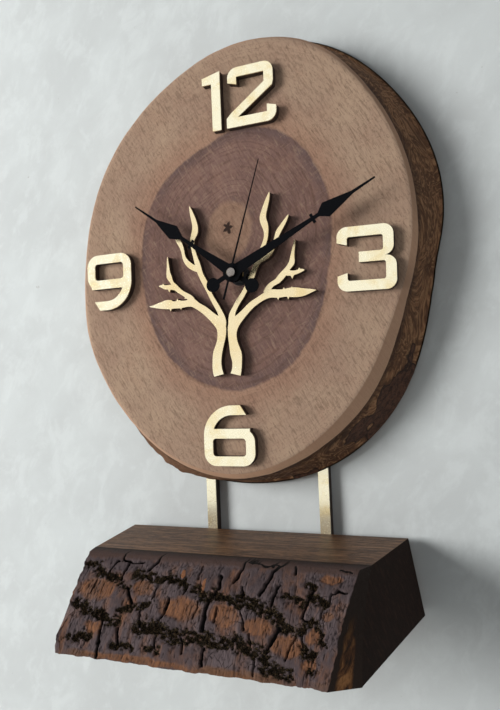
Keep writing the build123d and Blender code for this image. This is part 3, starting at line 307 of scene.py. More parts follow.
# thin cracks: width in millimetres, then places as shares along the front and down it
cracks = (
    (1.0, (0.155, -0.02), (0.155, 0.07), (0.197, 0.089), (0.24, 0.085)),
    (1.1, (0.187, 0.086), (0.181, 0.226), (0.175, 0.289)),
    (1.2, (0.312, -0.07), (0.287, 0.095), (0.276, 0.167)),
    (1.2, (0.636, -0.06), (0.613, 0.014), (0.601, 0.103), (0.594, 0.213)),
    (0.8, (0.594, -0.01), (0.647, 0.018), (0.693, 0.03), (0.741, 0.001)),
    (1.3, (0.748, -0.02), (0.716, 0.056), (0.7, 0.23), (0.689, 0.322)),
    (1.2, (0.786, 0.013), (0.788, 0.083)),
    (1.7, (0.542, 0.152), (0.55, 0.253), (0.537, 0.318), (0.526, 0.403), (0.523, 0.547), (0.527, 0.649)),
    (1.2, (0.745, 0.22), (0.734, 0.311), (0.73, 0.391)),
    (1.3, (0.862, 0.175), (0.854, 0.264), (0.847, 0.361), (0.838, 0.459)),
    (0.9, (0.935, 0.339), (0.933, 0.245), (0.951, 0.203), (0.984, 0.224)),
    (1.3, (0.217, 0.339), (0.238, 0.432), (0.254, 0.504)),
    (1.1, (0.383, 0.396), (0.381, 0.545), (0.368, 0.655)),
    (1.3, (0.163, 0.65), (0.175, 0.827), (0.182, 1.0)),
    (1.0, (0.233, 0.718), (0.247, 0.802), (0.247, 0.892)),
    (1.7, (0.772, 0.555), (0.756, 0.657), (0.738, 0.752)), (1.0, (0.374, 0.76), (0.378, 0.846)),
    (1.1, (0.545, 0.788), (0.545, 0.95)), (1.0, (0.85, 0.608), (0.855, 0.702)),
    (0.7, (0.681, 0.642), (0.692, 0.738)), (0.7, (0.143, 0.081), (0.123, 0.197)),
    (0.7, (0.437, 0.258), (0.43, 0.364)), (0.8, (0.295, 0.547), (0.308, 0.695)),
    (0.8, (0.917, 0.4), (0.914, 0.476)), (0.7, (0.626, 0.236), (0.628, 0.337)),
    (0.7, (0.94, 0.01), (0.979, 0.041)), (0.7, (0.638, 0.675), (0.636, 0.777)),
    (0.8, (0.835, 0.46), (0.866, 0.499)), (0.7, (0.462, 0.732), (0.474, 0.855)),
    (0.7, (0.709, 0.832), (0.709, 0.97)), (0.7, (0.56, 0.455), (0.56, 0.577)),
    (0.6, (0.085, 0.3), (0.075, 0.42)), (0.6, (0.33, 0.3), (0.325, 0.44)),
    (0.6, (0.47, 0.06), (0.465, 0.2)), (0.6, (0.82, 0.62), (0.8, 0.8)),
    (0.6, (0.64, 0.44), (0.66, 0.6)), (0.6, (0.49, 0.4), (0.485, 0.58)),
)
# wide mossy furrows, listed the same way
furrows = (
    (3.2, (0.014, 0.145), (0.068, 0.117)), (5.0, (0.076, 0.202), (0.123, 0.248), (0.171, 0.276)),
    (3.4, (0.178, 0.315), (0.222, 0.344)),
    (5.0, (0.232, 0.204), (0.279, 0.205), (0.312, 0.246), (0.361, 0.214), (0.419, 0.251),
     (0.477, 0.307), (0.51, 0.366), (0.543, 0.368)),
    (4.8, (0.537, 0.318), (0.583, 0.368), (0.627, 0.407)),
    (6.0, (0.626, 0.358), (0.673, 0.396), (0.714, 0.434), (0.755, 0.467), (0.769, 0.517)),
    (3.6, (0.768, 0.303), (0.803, 0.324), (0.843, 0.362)), (2.6, (0.835, 0.171), (0.867, 0.188)),
    (5.0, (0.856, 0.286), (0.897, 0.31), (0.921, 0.339)),
    (4.6, (0.77, 0.527), (0.798, 0.576), (0.842, 0.582), (0.857, 0.534)),
    (3.6, (0.873, 0.497), (0.909, 0.53), (0.942, 0.58)),
    (5.4, (0.031, 0.529), (0.079, 0.562), (0.142, 0.612), (0.195, 0.663), (0.222, 0.666)),
    (3.6, (0.212, 0.575), (0.259, 0.54), (0.315, 0.488)),
    (4.4, (0.046, 0.851), (0.098, 0.829), (0.132, 0.807)),
    (6.8, (0.308, 0.695), (0.361, 0.668), (0.408, 0.724), (0.474, 0.728), (0.536, 0.714),
     (0.585, 0.743), (0.644, 0.717), (0.684, 0.76), (0.733, 0.793)),
    (3.6, (0.236, 0.862), (0.296, 0.864)), (3.2, (0.341, 0.854), (0.395, 0.861)),
    (6.0, (0.743, 0.883), (0.783, 0.894), (0.807, 0.914)),
    (5.0, (0.854, 0.712), (0.889, 0.748), (0.92, 0.752)), (3.2, (0.934, 0.638), (0.958, 0.649)),
    (2.4, (0.898, 0.869), (0.945, 0.86)),
)
# where the outer bark has flaked off an orange-brown layer: middle and half size, as shares
flakes = (
    (0.097, 0.389, 0.086, 0.125), (0.277, 0.336, 0.041, 0.104), (0.439, 0.487, 0.088, 0.126),
    (0.593, 0.507, 0.062, 0.103), (0.703, 0.579, 0.062, 0.093), (0.804, 0.7, 0.064, 0.1),
    (0.899, 0.612, 0.041, 0.075), (0.916, 0.115, 0.05, 0.045), (0.94, 0.45, 0.029, 0.048),
    (0.127, 0.729, 0.04, 0.061), (0.898, 0.825, 0.041, 0.061), (0.3, 0.97, 0.24, 0.035),
    (0.62, 0.985, 0.12, 0.03),
)
# two bright splinters that stand in the furrows, listed the same way
chips = ((0.408, 0.178, 0.011, 0.04), (0.494, 0.262, 0.007, 0.065))


def lineNearness(along, down, lines, sizeAlong, sizeDown, widen=1.0):
    # for each line: 1 on it, falling as a bell to a third at half its width; the largest of all lines is kept
    best = np.zeros_like(along)
    for width, *places in lines:
        for (u0, v0), (u1, v1) in zip(places, places[1:]):
            ax, ay, bx, by = u0 * sizeAlong, v0 * sizeDown, u1 * sizeAlong, v1 * sizeDown
            squared = (bx - ax) ** 2 + (by - ay) ** 2
            t = np.clip(((along - ax) * (bx - ax) + (down - ay) * (by - ay)) / squared, 0, 1)
            gap = np.hypot(along - ax - t * (bx - ax), down - ay - t * (by - ay))
            best = np.maximum(best, bell(gap, 0, width * widen / 2))
    return best


def barkFront(s):
    # a crowned ramp between the sawn ends. Height = plates less cracks and mossy furrows, where each crack
    # is a bell across a listed line and the plates swell by layered noise.
    share = np.linspace(0, 1, s["columns"])[:, None]  # then one more row at each end, where its layers show
    share = np.concatenate([share[:1], share, share[-1:]])
    beyond = np.zeros_like(share)
    beyond[0], beyond[-1] = -1, 1
    drop = np.linspace(0, 1, s["rows"])[None, :]
    zero = share * 0 + drop * 0
    slope = math.atan2(s["topFront"] - s["footFront"], s["top"] - s["foot"])
    outward = np.array([0, -math.cos(slope), math.sin(slope)])
    sizes = s["sizeAlong"], s["sizeDown"]
    along, down = share * sizes[0] + zero, drop * sizes[1] + zero

    def lumps(alongSize, downSize, octaves, seed, layer=0):
        # layered noise over the front; a size of 0 means that it doesn't vary that way
        x = along / alongSize if alongSize else zero
        y = down / downSize if downSize else zero
        return layeredNoise(x, y, zero + layer, octaves, seed)

    warpA = along + s["warp"][0] * lumps(*s["warpAlong"])
    warpD = down + s["warp"][1] * lumps(*s["warpDown"])

    def ovals(places, peak):
        # the peak at the middle of each oval, falling by 1 to its edge; the largest of all is kept
        best = zero
        for u, v, halfU, halfV in places:
            away = np.hypot((warpA / sizes[0] - u) / halfU, (warpD / sizes[1] - v) / halfV)
            best = np.maximum(best, peak - away)
        return best

    crack = lineNearness(warpA, warpD, cracks, *sizes)
    ragged = s["mossRagged"][0] + s["mossRagged"][1] * lumps(*s["mossLumps"])
    moss = lineNearness(warpA, warpD, furrows, *sizes, s["mossWiden"]) * ragged * s["mossFull"]
    moss = np.clip(moss, 0, 1)
    flake = easeStep(ovals(flakes, 1) + s["flakeUneven"] * lumps(*s["flakeLumps"]), *s["flakeEdge"])
    chip = easeStep(ovals(chips, s["chipSize"]), *s["chipEdge"])
    swell, fine, splits = (lumps(*s[name]) for name in ("swell", "fine", "splits"))
    splits = np.abs(splits)
    mossUneven = s["mossUneven"][0] + s["mossUneven"][1] * fine
    height = (s["plateLift"] * (swell - s["swellMiddle"]) - s["crackDepth"] * crack
              - s["mossDepth"] * moss * mossUneven - s["flakeDepth"] * flake
              + s["grit"] * fine - s["splitDepth"] * (1 - easeStep(splits, 0.0, s["splitWide"])))
    strip = 1 - easeStep(drop + s["stripUneven"] * lumps(*s["stripLumps"]), *s["stripEdge"])
    border = easeStep(drop, 0, s["border"]) * easeStep(1 - drop, 0, s["border"])
    flatter = (1 - s["borderFlat"] + s["borderFlat"] * border) * (1 - s["stripFlat"] * strip)
    height = height * flatter + s["chipLift"] * chip
    height = np.minimum(height, -s["leastDepth"])
    crown = s["crown"] * (1 - (2 * drop - 1) ** 2)
    # the foot is ragged: the profile is drawn in a little there
    worn = easeStep(drop, s["footStart"], 1.0) * s["footWorn"] * (0.5 + 0.5 * lumps(*s["footLumps"]))
    rampY = s["topFront"] + (s["footFront"] - s["topFront"]) * drop
    rampZ = s["top"] + (s["foot"] - s["top"]) * drop
    y = rampY + (crown + height) * outward[1] + worn
    z = np.clip(rampZ + (crown + height) * outward[2] + worn * s["footTuck"], s["foot"], s["top"])

    def acrossShelf(y, z):
        half = s["half"] + s["endFlare"] * (s["top"] - z) - s["endTaper"] * (s["wall"] - y)
        return shelfMiddleX + (2 * share - 1) * half

    # both ends are broken away, the right one more towards the foot
    notchDepth, notchPlace, notchSpread = s["leftNotch"]
    rough = s["leftRough"] * (1 + lumps(*s["leftLumps"])) + notchDepth * bell(drop, notchPlace, notchSpread)
    leftBite = (1 - easeStep(share, 0, s["leftRoughReach"])) * rough
    leftBite = leftBite + (1 - easeStep(share, 0, s["leftReach"])) * s["drawnLeft"] * drop
    rightTop, rightFoot = s["drawnRight"]
    rightBite = rightTop + (rightFoot - rightTop) * drop ** s["rightBow"]
    rightBite = rightBite * (1 + s["rightUneven"] * lumps(*s["rightLumps"]))
    rightBite = rightBite * easeStep(share, 1 - s["rightReach"], 1)
    x = acrossShelf(y, z) + leftBite - rightBite + beyond * s["lip"]
    outer = np.stack([x, y + np.abs(beyond) * s["lip"], z], -1)
    innerY = rampY + s["thick"] + crown * outward[1] + zero
    innerZ = np.minimum(rampZ + crown * outward[2] + zero, s["top"])
    inner = np.stack([acrossShelf(innerY, innerZ) + beyond * s["lip"], innerY, innerZ], -1)
    # each row of the grid goes down the outside and back up the inside, and two end caps close it
    total = 2 * s["rows"]
    k = np.arange(s["rows"] - 1)
    first = np.stack([k, total - 1 - k, total - 2 - k, k + 1], -1)
    last = (len(share) - 1) * total + np.stack([k, k + 1, total - 2 - k, total - 1 - k], -1)
    split = 1 - easeStep(splits, 0.0, s["splitShown"])
    outside = {"crack": crack, "moss": moss, "flake": flake, "chip": chip, "strip": strip, "split": split}
    fields = {name: np.concatenate([values, zero], 1) for name, values in outside.items()}
    # "outer" is 0 where the inside shows: behind, and on the right end's row
    fields["outer"] = np.concatenate([zero + 1 - np.clip(beyond, 0, 1), zero + np.clip(-beyond, 0, 1)], 1)
    fields["drop"] = np.concatenate([drop + zero, (drop + zero)[:, ::-1]], 1)
    fields["inward"] = np.concatenate([zero, zero + 1], 1)
    grid = np.concatenate([outer, inner[:, ::-1]], 1)
    caps = np.vstack([first, last])
    piece = surface("barkFront", grid, fields, ["shelf_bark"], extra=caps, crease=70)
    return piece, outer, moss * (1 - np.abs(beyond)), outward


moss_ = {
    "blades": 9000, "length": (0.0006, 0.0025), "radius": (0.00013, 0.0003), "lean": 0.475, "sunk": 0.0003,
    "scattered": 0.0002, "least": 0.35, "seed": 11,
    "root": tone(17, 14, 11), "rootPale": tone(40, 33, 25), "tipTone": tone(120, 98, 74),
}


def mossTufts(s, places, moss, outward):
    # each blade is a three-sided spike: base = place + radius * (cos, sin) of three turns,
    # tip = place + length * lean
    rng = np.random.default_rng(s["seed"])
    weight = np.clip(moss.reshape(-1) - s["least"], 0, 1)
    count = s["blades"]
    chosen = rng.choice(len(weight), count, p=weight / weight.sum())
    lean = outward + rng.normal(0, s["lean"], (count, 3))
    lean /= np.linalg.norm(lean, axis=1)[:, None]
    place = places.reshape(-1, 3)[chosen] + rng.normal(0, s["scattered"], (count, 3)) - lean * s["sunk"]
    length, radius = (rng.uniform(*s[name], count)[:, None] for name in ("length", "radius"))
    sideA = np.cross(lean, (1.0, 0, 0))
    sideA /= np.linalg.norm(sideA, axis=1)[:, None]
    sideB = np.cross(lean, sideA)
    turns = rng.uniform(0, fullTurn, count)[:, None]
    base = [place + radius * (sideA * np.cos(turns + a) + sideB * np.sin(turns + a))
            for a in np.arange(3) * fullTurn / 3]
    points = np.stack(base + [place + lean * (length + s["sunk"])], 1).reshape(-1, 3)
    corner = np.arange(count)[:, None] * 4
    faces = np.concatenate([corner + np.array(f) for f in ((0, 1, 3), (1, 2, 3), (2, 0, 3), (2, 1, 0))])
    tip = np.tile((0.0, 0.0, 0.0, 1.0), count)
    pale = np.repeat(rng.uniform(0, 1, count), 4)
    return newPiece("mossTufts", points, faces, {"tip": tip, "pale": pale})


class Channel:
    # one output in a shader tree: sums and products of channels and numbers are Math nodes there
    def __init__(self, socket):
        self.socket = socket

    def __add__(self, other):
        return calc("ADD", self, other)

    def __sub__(self, other):
        return calc("SUBTRACT", self, other)

    def __mul__(self, other):
        return calc("MULTIPLY", self, other)


def feed(node, inputs):
    for key, value in inputs.items():
        if isinstance(value, Channel):
            node.id_data.links.new(value.socket, node.inputs[key])
        else:
            node.inputs[key].default_value = value


def put(tree, kind, inputs=None, **settings):
    node = tree.nodes.new(kind)
    for key, value in settings.items():
        setattr(node, key, value)
    feed(node, inputs or {})
    return node


def made(kind, inputs, output=0, **settings):
    # a node in the tree of the first channel that feeds it, and one of its outputs
    tree = next(value.socket.id_data for value in inputs.values() if isinstance(value, Channel))
    return Channel(put(tree, kind, inputs, **settings).outputs[output])


def calc(operation, a, b=0.0):
    return made("ShaderNodeMath", {0: a, 1: b}, operation=operation)


def mixed(factor, a, b):
    return made("ShaderNodeMix", {0: factor, 6: a, 7: b}, 2, data_type="RGBA")


def eased(value, low, high, toLow=0.0, toHigh=1.0):
    return made("ShaderNodeMapRange", {0: value, 1: low, 2: high, 3: toLow, 4: toHigh},
                interpolation_type="SMOOTHSTEP")


def noise(vector, scale, detail=3.0, rough=0.55, warp=0.0):
    return made("ShaderNodeTexNoise", {"Vector": vector, "Scale": scale, "Detail": detail, "Roughness": rough,
                                       "Distortion": warp})


def centred(value, strength):
    return (value - 0.5) * strength


def coated(colour, patterns, coats, tones):
    # each coat is laid over the last one: pattern, where it starts, where it is full, strength, tone
    for pattern, start, full, strength, name in coats:
        mask = eased(patterns[pattern], start, full)
        colour = mixed(mask if strength == 1 else mask * strength, colour, tones[name])
    return colour


def placed(vector, scale=(1, 1, 1), turn=(0, 0, 0), move=(0, 0, 0)):
    # turned first, so that a stretched pattern runs along the turned axes
    if any(turn):
        turn = tuple(math.radians(t) for t in turn)
        vector = made("ShaderNodeMapping", {"Vector": vector, "Rotation": turn})
    return made("ShaderNodeMapping", {"Vector": vector, "Scale": scale, "Location": move})


def axes(vector):
    node = put(vector.socket.id_data, "ShaderNodeSeparateXYZ", {0: vector})
    return [Channel(socket) for socket in node.outputs]


def source(tree, kind, output, **settings):
    return Channel(put(tree, kind, **settings).outputs[output])


def field(tree, name):
    return source(tree, "ShaderNodeAttribute", "Fac", attribute_name=name)


def startMaterial(name, shine=0.5, **values):
    # a material, its tree, its one shader and the place on the object
    material = bpy.data.materials.new(name)
    material.use_nodes = True
    tree = material.node_tree
    tree.nodes.clear()
    shader = put(tree, "ShaderNodeBsdfPrincipled", {"Specular IOR Level": shine, **values})
    put(tree, "ShaderNodeOutputMaterial", {"Surface": Channel(shader.outputs[0])})
    return material, tree, shader, source(tree, "ShaderNodeTexCoord", "Object")


def dress(shader, colour, roughness=None, height=None, depth=0.0002, strength=1.0):
    inputs = {"Base Color": colour}
    if roughness is not None:
        inputs["Roughness"] = roughness
    if height is not None:
        inputs["Normal"] = made("ShaderNodeBump", {"Height": height, "Distance": depth, "Strength": strength})
    feed(shader, inputs)


def newGroup(name, outputs, factor=None, usual=1.0):
    # a group fed by a place, and by a number where one is named
    group = bpy.data.node_groups.new(name, "ShaderNodeTree")
    group.interface.new_socket(name="Place", in_out="INPUT", socket_type="NodeSocketVector")
    if factor:
        socket = group.interface.new_socket(name=factor, in_out="INPUT", socket_type="NodeSocketFloat")
        socket.default_value = usual
    for label in outputs:
        group.interface.new_socket(name=label, in_out="OUTPUT", socket_type="NodeSocketFloat")
    entry = group.nodes.new("NodeGroupInput")
    return group, *(Channel(entry.outputs[label]) for label in ("Place", factor) if label)


def useGroup(tree, group, **inputs):
    node = put(tree, "ShaderNodeGroup", node_tree=group)
    feed(node, inputs)
    return {socket.name: Channel(socket) for socket in node.outputs}


def buildScratches():
    # hair scratches in three directions, and broad smears
    group, place, fineness = newGroup("handScratches", ["Lines", "Smears"], "Fineness")
    lines = None
    for turn, move in (((0, 24, 12), 0.0), ((0, -51, 30), 3.1), ((0, 78, -17), 7.7)):
        stretched = placed(place, scale=(60, 1100, 1100), turn=turn, move=(move, move, move))
        sized = made("ShaderNodeVectorMath", {0: stretched, "Scale": fineness}, operation="SCALE")
        line = eased(noise(sized, 1.0, 2.0, 0.5), 0.66, 0.74)
        lines = line if lines is None else calc("MAXIMUM", lines, line)
    put(group, "NodeGroupOutput", {"Lines": lines, "Smears": noise(place, 60.0, 4.0, 0.6, 0.6)})
    return group


def buildFibres():
    # fibres drawn out along one axis, wandering a little, and the short dark pores between them
    group, place = newGroup("woodFibres", ["Fibre", "Pore", "Band"])
    wander = noise(place, 0.35, 3.0, 0.5) * 3.0
    aside = made("ShaderNodeCombineXYZ", {1: wander, 2: wander})
    bent = made("ShaderNodeVectorMath", {0: place, 1: aside}, operation="ADD")
    fibre = noise(placed(bent, scale=(0.25, 2.6, 2.6)), 1.0, 5.0, 0.65)
    pore = noise(placed(bent, scale=(0.55, 5.5, 5.5), move=(5, 2, 8)), 1.0, 2.0, 0.5)
    band = noise(placed(bent, scale=(0.04, 0.5, 0.5), move=(1, 9, 4)), 1.0, 4.0, 0.6)
    put(group, "NodeGroupOutput", {"Fibre": fibre, "Pore": eased(pore, 0.60, 0.70), "Band": band})
    return group


def buildMouldSkin():
    # the fine orange-peel of moulded plastic and rubber, and its dusty unevenness
    group, place, grain = newGroup("mouldSkin", ["Height", "Dust"], "Grain", 2500.0)
    height, dust = noise(place, grain, 2.0, 0.6), noise(place, 90.0, 5.0, 0.65)
    put(group, "NodeGroupOutput", {"Height": height, "Dust": dust})
    return group


scratchGroup, fibreGroup, skinGroup = buildScratches(), buildFibres(), buildMouldSkin()
print("shader groups built")

dialLook = {
    "sap": tone(142, 116, 101), "sapPale": tone(166, 142, 121), "sapRed": tone(148, 112, 93),
    "heart": tone(124, 98, 90), "heartDark": tone(106, 82, 76), "band": tone(78, 66, 68),
    "core": tone(140, 112, 94), "pith": tone(38, 24, 18), "grain": tone(74, 52, 42),
    # bevel is paler than the face: partly the smoothed wood, partly painted light
    "bevel": tone(178, 142, 116), "side": tone(156, 115, 84), "sideDark": tone(86, 60, 44),
    "sidePale": tone(192, 150, 112), "darkWoodAndShade": tone(60, 41, 31), "ledge": tone(132, 100, 78),
    "split": tone(18, 12, 10), "bark": tone(104, 74, 60), "barkDark": tone(44, 31, 25),
    "rings": 42.0, "wander": 0.05, "ragged": 0.045,  # growth rings from pith to rim, and how far edges stray
    "contours": 14.0, "contourDrift": 1.4,  # lines of grain down the side
    "starPoints": 5.0, "starReach": 0.006, "starRagged": 0.02,  # the pith's dark star
    # edges: where a mask starts and where it is full, then its least and its greatest strength
    "starEdge": (0.024, 0.014), "ringEdge": (0.50, 0.60), "ringBroken": (0.34, 0.6, 0.3, 1.0),
    "ringStrength": (1.1, 0.95, 0.13, 0.42), "heartEdge": (1.012, 0.985), "bandEdge": (0.86, 0.985),
    "coreEdge": (0.17, 0.12), "coreRingIn": (0.135, 0.15), "coreRingOut": (0.18, 0.158),
    "coreRingBroken": (0.42, 0.6),
    "heartCloud": (0.32, 0.7), "bandBroken": (0.3, 0.55), "barkFine": (0.3, 0.7),
    "bevelIn": (0.2, 0.5), "bevelOut": (0.9, 0.6), "sideIn": (0.85, 1.0), "sideOut": (1.15, 1.0),
    "splitEdge": (0.075, 0.095), "ledgeEdge": (0.08, 0.3), "barkRim": (0.05, 0.5), "barkEdge": (0.6, 0.95),
    # strengths of single coats, and how deep the patterns cut
    "bandShare": 0.62, "coreShare": 0.9, "coreRingShare": 0.42, "bevelShare": 0.7, "ledgeShare": 0.85,
    "strokeDepth": -0.9, "speckDepth": 0.5, "swingDepth": -2.2, "fineDepth": 3.0,
    "glossVaried": 0.16, "sideDuller": 0.15, "roughness": 0.5, "relief": (0.00025, 0.8), "frontWander": 0.3,
    # noises: lumps per metre, detail, roughness, warp
    "ringWander": (24.0, 4.0, 0.6), "coreWander": (60.0, 4.0, 0.6), "heartWander": (120.0, 3.0, 0.6),
    "starWander": (600.0, 3.0, 0.6), "broken": (75.0, 4.0, 0.6), "cloud": (20.0, 5.0, 0.62, 0.4),
    "mottle": (95.0, 5.0, 0.65, 0.3), "speck": (620.0, 4.0, 0.7), "sideWarp": (26.0, 4.0, 0.55, 0.9),
    "sideFine": (300.0, 5.0, 0.7, 0.8), "sideBroad": (42.0, 4.0, 0.6),
    # marks of saw and sander: scale, turn and move of the pattern, then detail and roughness
    "stroke": ((130, 60, 760), (0, -61, 0), (0, 0, 0), 4.0, 0.65),
    "hair": ((230, 100, 1500), (0, -61, 0), (3, 0, 7), 2.0, 0.6),
    "cross": ((120, 60, 900), (0, 28, 0), (0, 0, 0), 3.0, 0.6),
    # coats over a first tone: pattern, where it starts, where it is full, strength, tone
    "sapCoats": (("cloud", 0.3, 0.7, 1, "sapPale"), ("ring", 0.55, 1.0, 0.45, "sapPale"),
                 ("heart", 1.3, 1.0, 0.6, "sapRed")),
    "coats": (("mottle", 0.42, 0.72, 0.2, "sapRed"), ("stroke", 0.5, 0.68, 0.36, "grain"),
              ("stroke", 0.47, 0.3, 0.3, "sapPale"), ("hair", 0.52, 0.7, 0.3, "grain"),
              ("cross", 0.54, 0.72, 0.2, "sapPale"), ("speck", 0.54, 0.68, 0.34, "grain")),
    # on the side, sideDark in the hollows is partly painted shade, sidePale on the ridges partly painted
    # highlight, and the dark tone next to the bevel is painted shade
    "sideCoats": (("broad", 0.34, 0.66, 1, "side"), ("fine", 0.45, 0.7, 0.5, "side"),
                  ("swing", 0.3, 0.46, 0.85, "sideDark"), ("swing", 0.17, 0.02, 0.65, "sidePale"),
                  ("front", 0.34, 0.14, 0.72, "darkWoodAndShade")),
}


def sawnFace(t, tree, place):
    # sapwood round a darker heart with an uneven edge, a pale core, growth rings and the marks of tools
    ring, heart, flat = field(tree, "ring"), field(tree, "heart"), placed(place, scale=(1, 0.15, 1))
    # growth rings: a one-way noise along the growth share, so their widths and depths vary, broken by a cloud
    count = (ring + centred(noise(flat, *t["ringWander"]), t["wander"])) * t["rings"]
    rings = made("ShaderNodeTexNoise", {"W": count, "Scale": 1.0, "Detail": 3.0, "Roughness": 0.7},
                 noise_dimensions="1D")
    broken, cloud = noise(flat, *t["broken"]), noise(flat, *t["cloud"])
    ringLine = eased(rings, *t["ringEdge"]) * eased(broken, *t["ringBroken"])
    patterns = {"ring": ring, "heart": heart, "cloud": cloud, "mottle": noise(flat, *t["mottle"]),
                "speck": noise(flat, *t["speck"])}
    for name in ("stroke", "hair", "cross"):
        scale, turn, move, detail, rough = t[name]
        patterns[name] = noise(placed(place, scale, turn, move), 1.0, detail, rough)
    sap = coated(t["sap"], patterns, t["sapCoats"], t)
    heartwood = mixed(eased(cloud, *t["heartCloud"]), t["heartDark"], t["heart"])
    insideEdge = eased(heart, *t["bandEdge"]) * eased(cloud, *t["bandBroken"])
    heartwood = mixed(insideEdge * t["bandShare"], heartwood, t["band"])
    coreEdge = ring + centred(noise(flat, *t["coreWander"]), t["ragged"])
    heartwood = mixed(eased(coreEdge, *t["coreEdge"]) * t["coreShare"], heartwood, t["core"])
    coreRing = eased(coreEdge, *t["coreRingIn"]) * eased(coreEdge, *t["coreRingOut"])
    coreRing = coreRing * eased(broken, *t["coreRingBroken"])
    heartwood = mixed(coreRing * t["coreRingShare"], heartwood, t["band"])
    heartEdge = heart + centred(noise(flat, *t["heartWander"]), t["ragged"])
    wood = mixed(eased(heartEdge, *t["heartEdge"]), sap, heartwood)
    wood = mixed(ringLine * eased(heart, *t["ringStrength"]), wood, t["grain"])
    wood = coated(wood, patterns, t["coats"], t)
    # the pith: a small dark star with short checks
    pithX, pithZ = slice_["pith"]
    x, _, z = axes(placed(place, move=(-pithX, 0, -pithZ)))
    star = (calc("COSINE", calc("ARCTAN2", z, x) * t["starPoints"]) + 1.0) * t["starReach"]
    starEdge = ring + centred(noise(place, *t["starWander"]), t["starRagged"]) - star
    return mixed(eased(starEdge, *t["starEdge"]), wood, t["pith"]), patterns


def trunkSide(t, tree, place):
    # contour-like grain, paler on its ridges and darker in its hollows as partly painted highlight and
    # painted shade, a dark strip of painted shade beside the bevel, the split ledge low at the left, and bark
    down = field(tree, "downSide")
    warp = noise(placed(place, scale=(1, 1.7, 1)), *t["sideWarp"])
    contour = calc("FRACT", warp * t["contours"] + down * t["contourDrift"])
    swing = calc("ABSOLUTE", contour - 0.5)
    fine = noise(placed(place, scale=(1, 2.2, 1)), *t["sideFine"])
    broad = noise(place, *t["sideBroad"])
    front = down + centred(broad, t["frontWander"])
    patterns = {"broad": broad, "fine": fine, "swing": swing, "front": front}
    wood = coated(t["sideDark"], patterns, t["sideCoats"], t)
    ledgeTone = mixed(eased(down, *t["splitEdge"]), t["split"], mixed(fine, t["darkWoodAndShade"], t["ledge"]))
    wood = mixed(eased(field(tree, "ledge"), *t["ledgeEdge"]) * t["ledgeShare"], wood, ledgeTone)
    barkTone = mixed(eased(fine, *t["barkFine"]), t["barkDark"], t["bark"])
    barkEdge = field(tree, "barkPatch")
    wood = mixed(eased(barkEdge, *t["barkRim"]), wood, t["barkDark"])
    return mixed(eased(barkEdge, *t["barkEdge"]), wood, barkTone), swing, fine


def dialWood(t):
    # zone: 0 front, 0.5 bevel, which is smoother and partly painted light, 1 side, 2 behind
    material, tree, shader, place = startMaterial("sawnEndGrain", 0.25)
    zone = field(tree, "zone")
    wood, patterns = sawnFace(t, tree, place)
    sideWood, swing, fine = trunkSide(t, tree, place)
    # the bevel's pale tone is partly painted light
    onBevel = eased(zone, *t["bevelIn"]) * eased(zone, *t["bevelOut"])
    wood = mixed(onBevel * t["bevelShare"], wood, t["bevel"])
    onSide = eased(zone, *t["sideIn"]) * eased(zone, *t["sideOut"])
    wood = mixed(onSide, wood, sideWood)
    relief = patterns["stroke"] * t["strokeDepth"] - patterns["speck"] * t["speckDepth"]
    sideRelief = swing * t["swingDepth"] + fine * t["fineDepth"]
    rough = patterns["cloud"] * t["glossVaried"] + (onSide * t["sideDuller"] + t["roughness"])
    dress(shader, wood, rough, relief + sideRelief * onSide, *t["relief"])
    return material


barkLook = {
    "plate": tone(93, 82, 84), "plateDark": tone(70, 61, 63), "plateWarm": tone(102, 84, 77),
    "flake": tone(131, 91, 66), "flakeDark": tone(98, 70, 56), "crack": tone(9, 7, 6),
    "moss": tone(20, 17, 13), "mossPale": tone(100, 84, 60), "strip": tone(78, 58, 48),
    "foot": tone(106, 78, 60), "chip": tone(160, 108, 74),
    "inside": tone(34, 25, 20), "insideWarm": tone(104, 70, 46), "insidePale": tone(150, 108, 70),
    # noises: lumps per metre, detail, roughness, warp
    "broad": (46.0, 5.0, 0.6, 0.3), "fine": (900.0, 5.0, 0.7), "grain": (420.0, 4.0, 0.65, 0.4),
    "speck": (1500.0, 3.0, 0.7), "layers": (420.0, 4.0, 0.6),
    # each pattern's stretch along X, Y and Z, and the slope of the broken layers in degrees
    "fineStretch": (1.0, 0.5, 0.5), "grainStretch": (2.4, 0.4, 0.4), "hairStretch": (1.5, 0.45, 0.45),
    "layerStretch": (0.3, 1.4, 0.22), "layerTurn": (41, 0, 0),
    # edges: where a mask starts and where it is full, then its least and its greatest strength
    "flakeBroken": (0.2, 0.5, 0.35, 1.0), "hairEdge": (0.05, 0.0), "hairWhere": (0.42, 0.6),
    "footEdge": (0.925, 0.955), "footBroken": (0.42, 0.62, 0.1, 0.8), "mossTips": (0.5, 0.64),
    "mossEdge": (0.3, 0.6), "crackEdge": (0.12, 0.42), "chipEdge": (0.42, 0.6), "layerEdge": (0.48, 0.66),
    "warmFrom": (0.4, 0.9), "warmBroken": (0.36, 0.56), "rimFront": (0.3, 0.15), "rimBack": (0.62, 0.74),
    # strengths and depths
    "splitShare": 0.6, "hairShare": 0.7, "footWander": 0.06, "chipWander": 0.9, "hairlines": 330.0,
    "hairDepth": 1.2, "grainDepth": 0.9, "roughness": 0.66, "roughVaried": 0.2, "relief": (0.00035, 0.8),
    "plateCoats": (("broad", 0.34, 0.66, 1, "plate"), ("grain", 0.5, 0.75, 0.22, "plateWarm")),
    "flakeCoats": (("grain", 0.34, 0.66, 1, "flake"), ("broad", 0.5, 0.68, 0.5, "plateWarm")),
    "darkCoats": (("grain", 0.42, 0.28, 0.45, "plateDark"),),
}


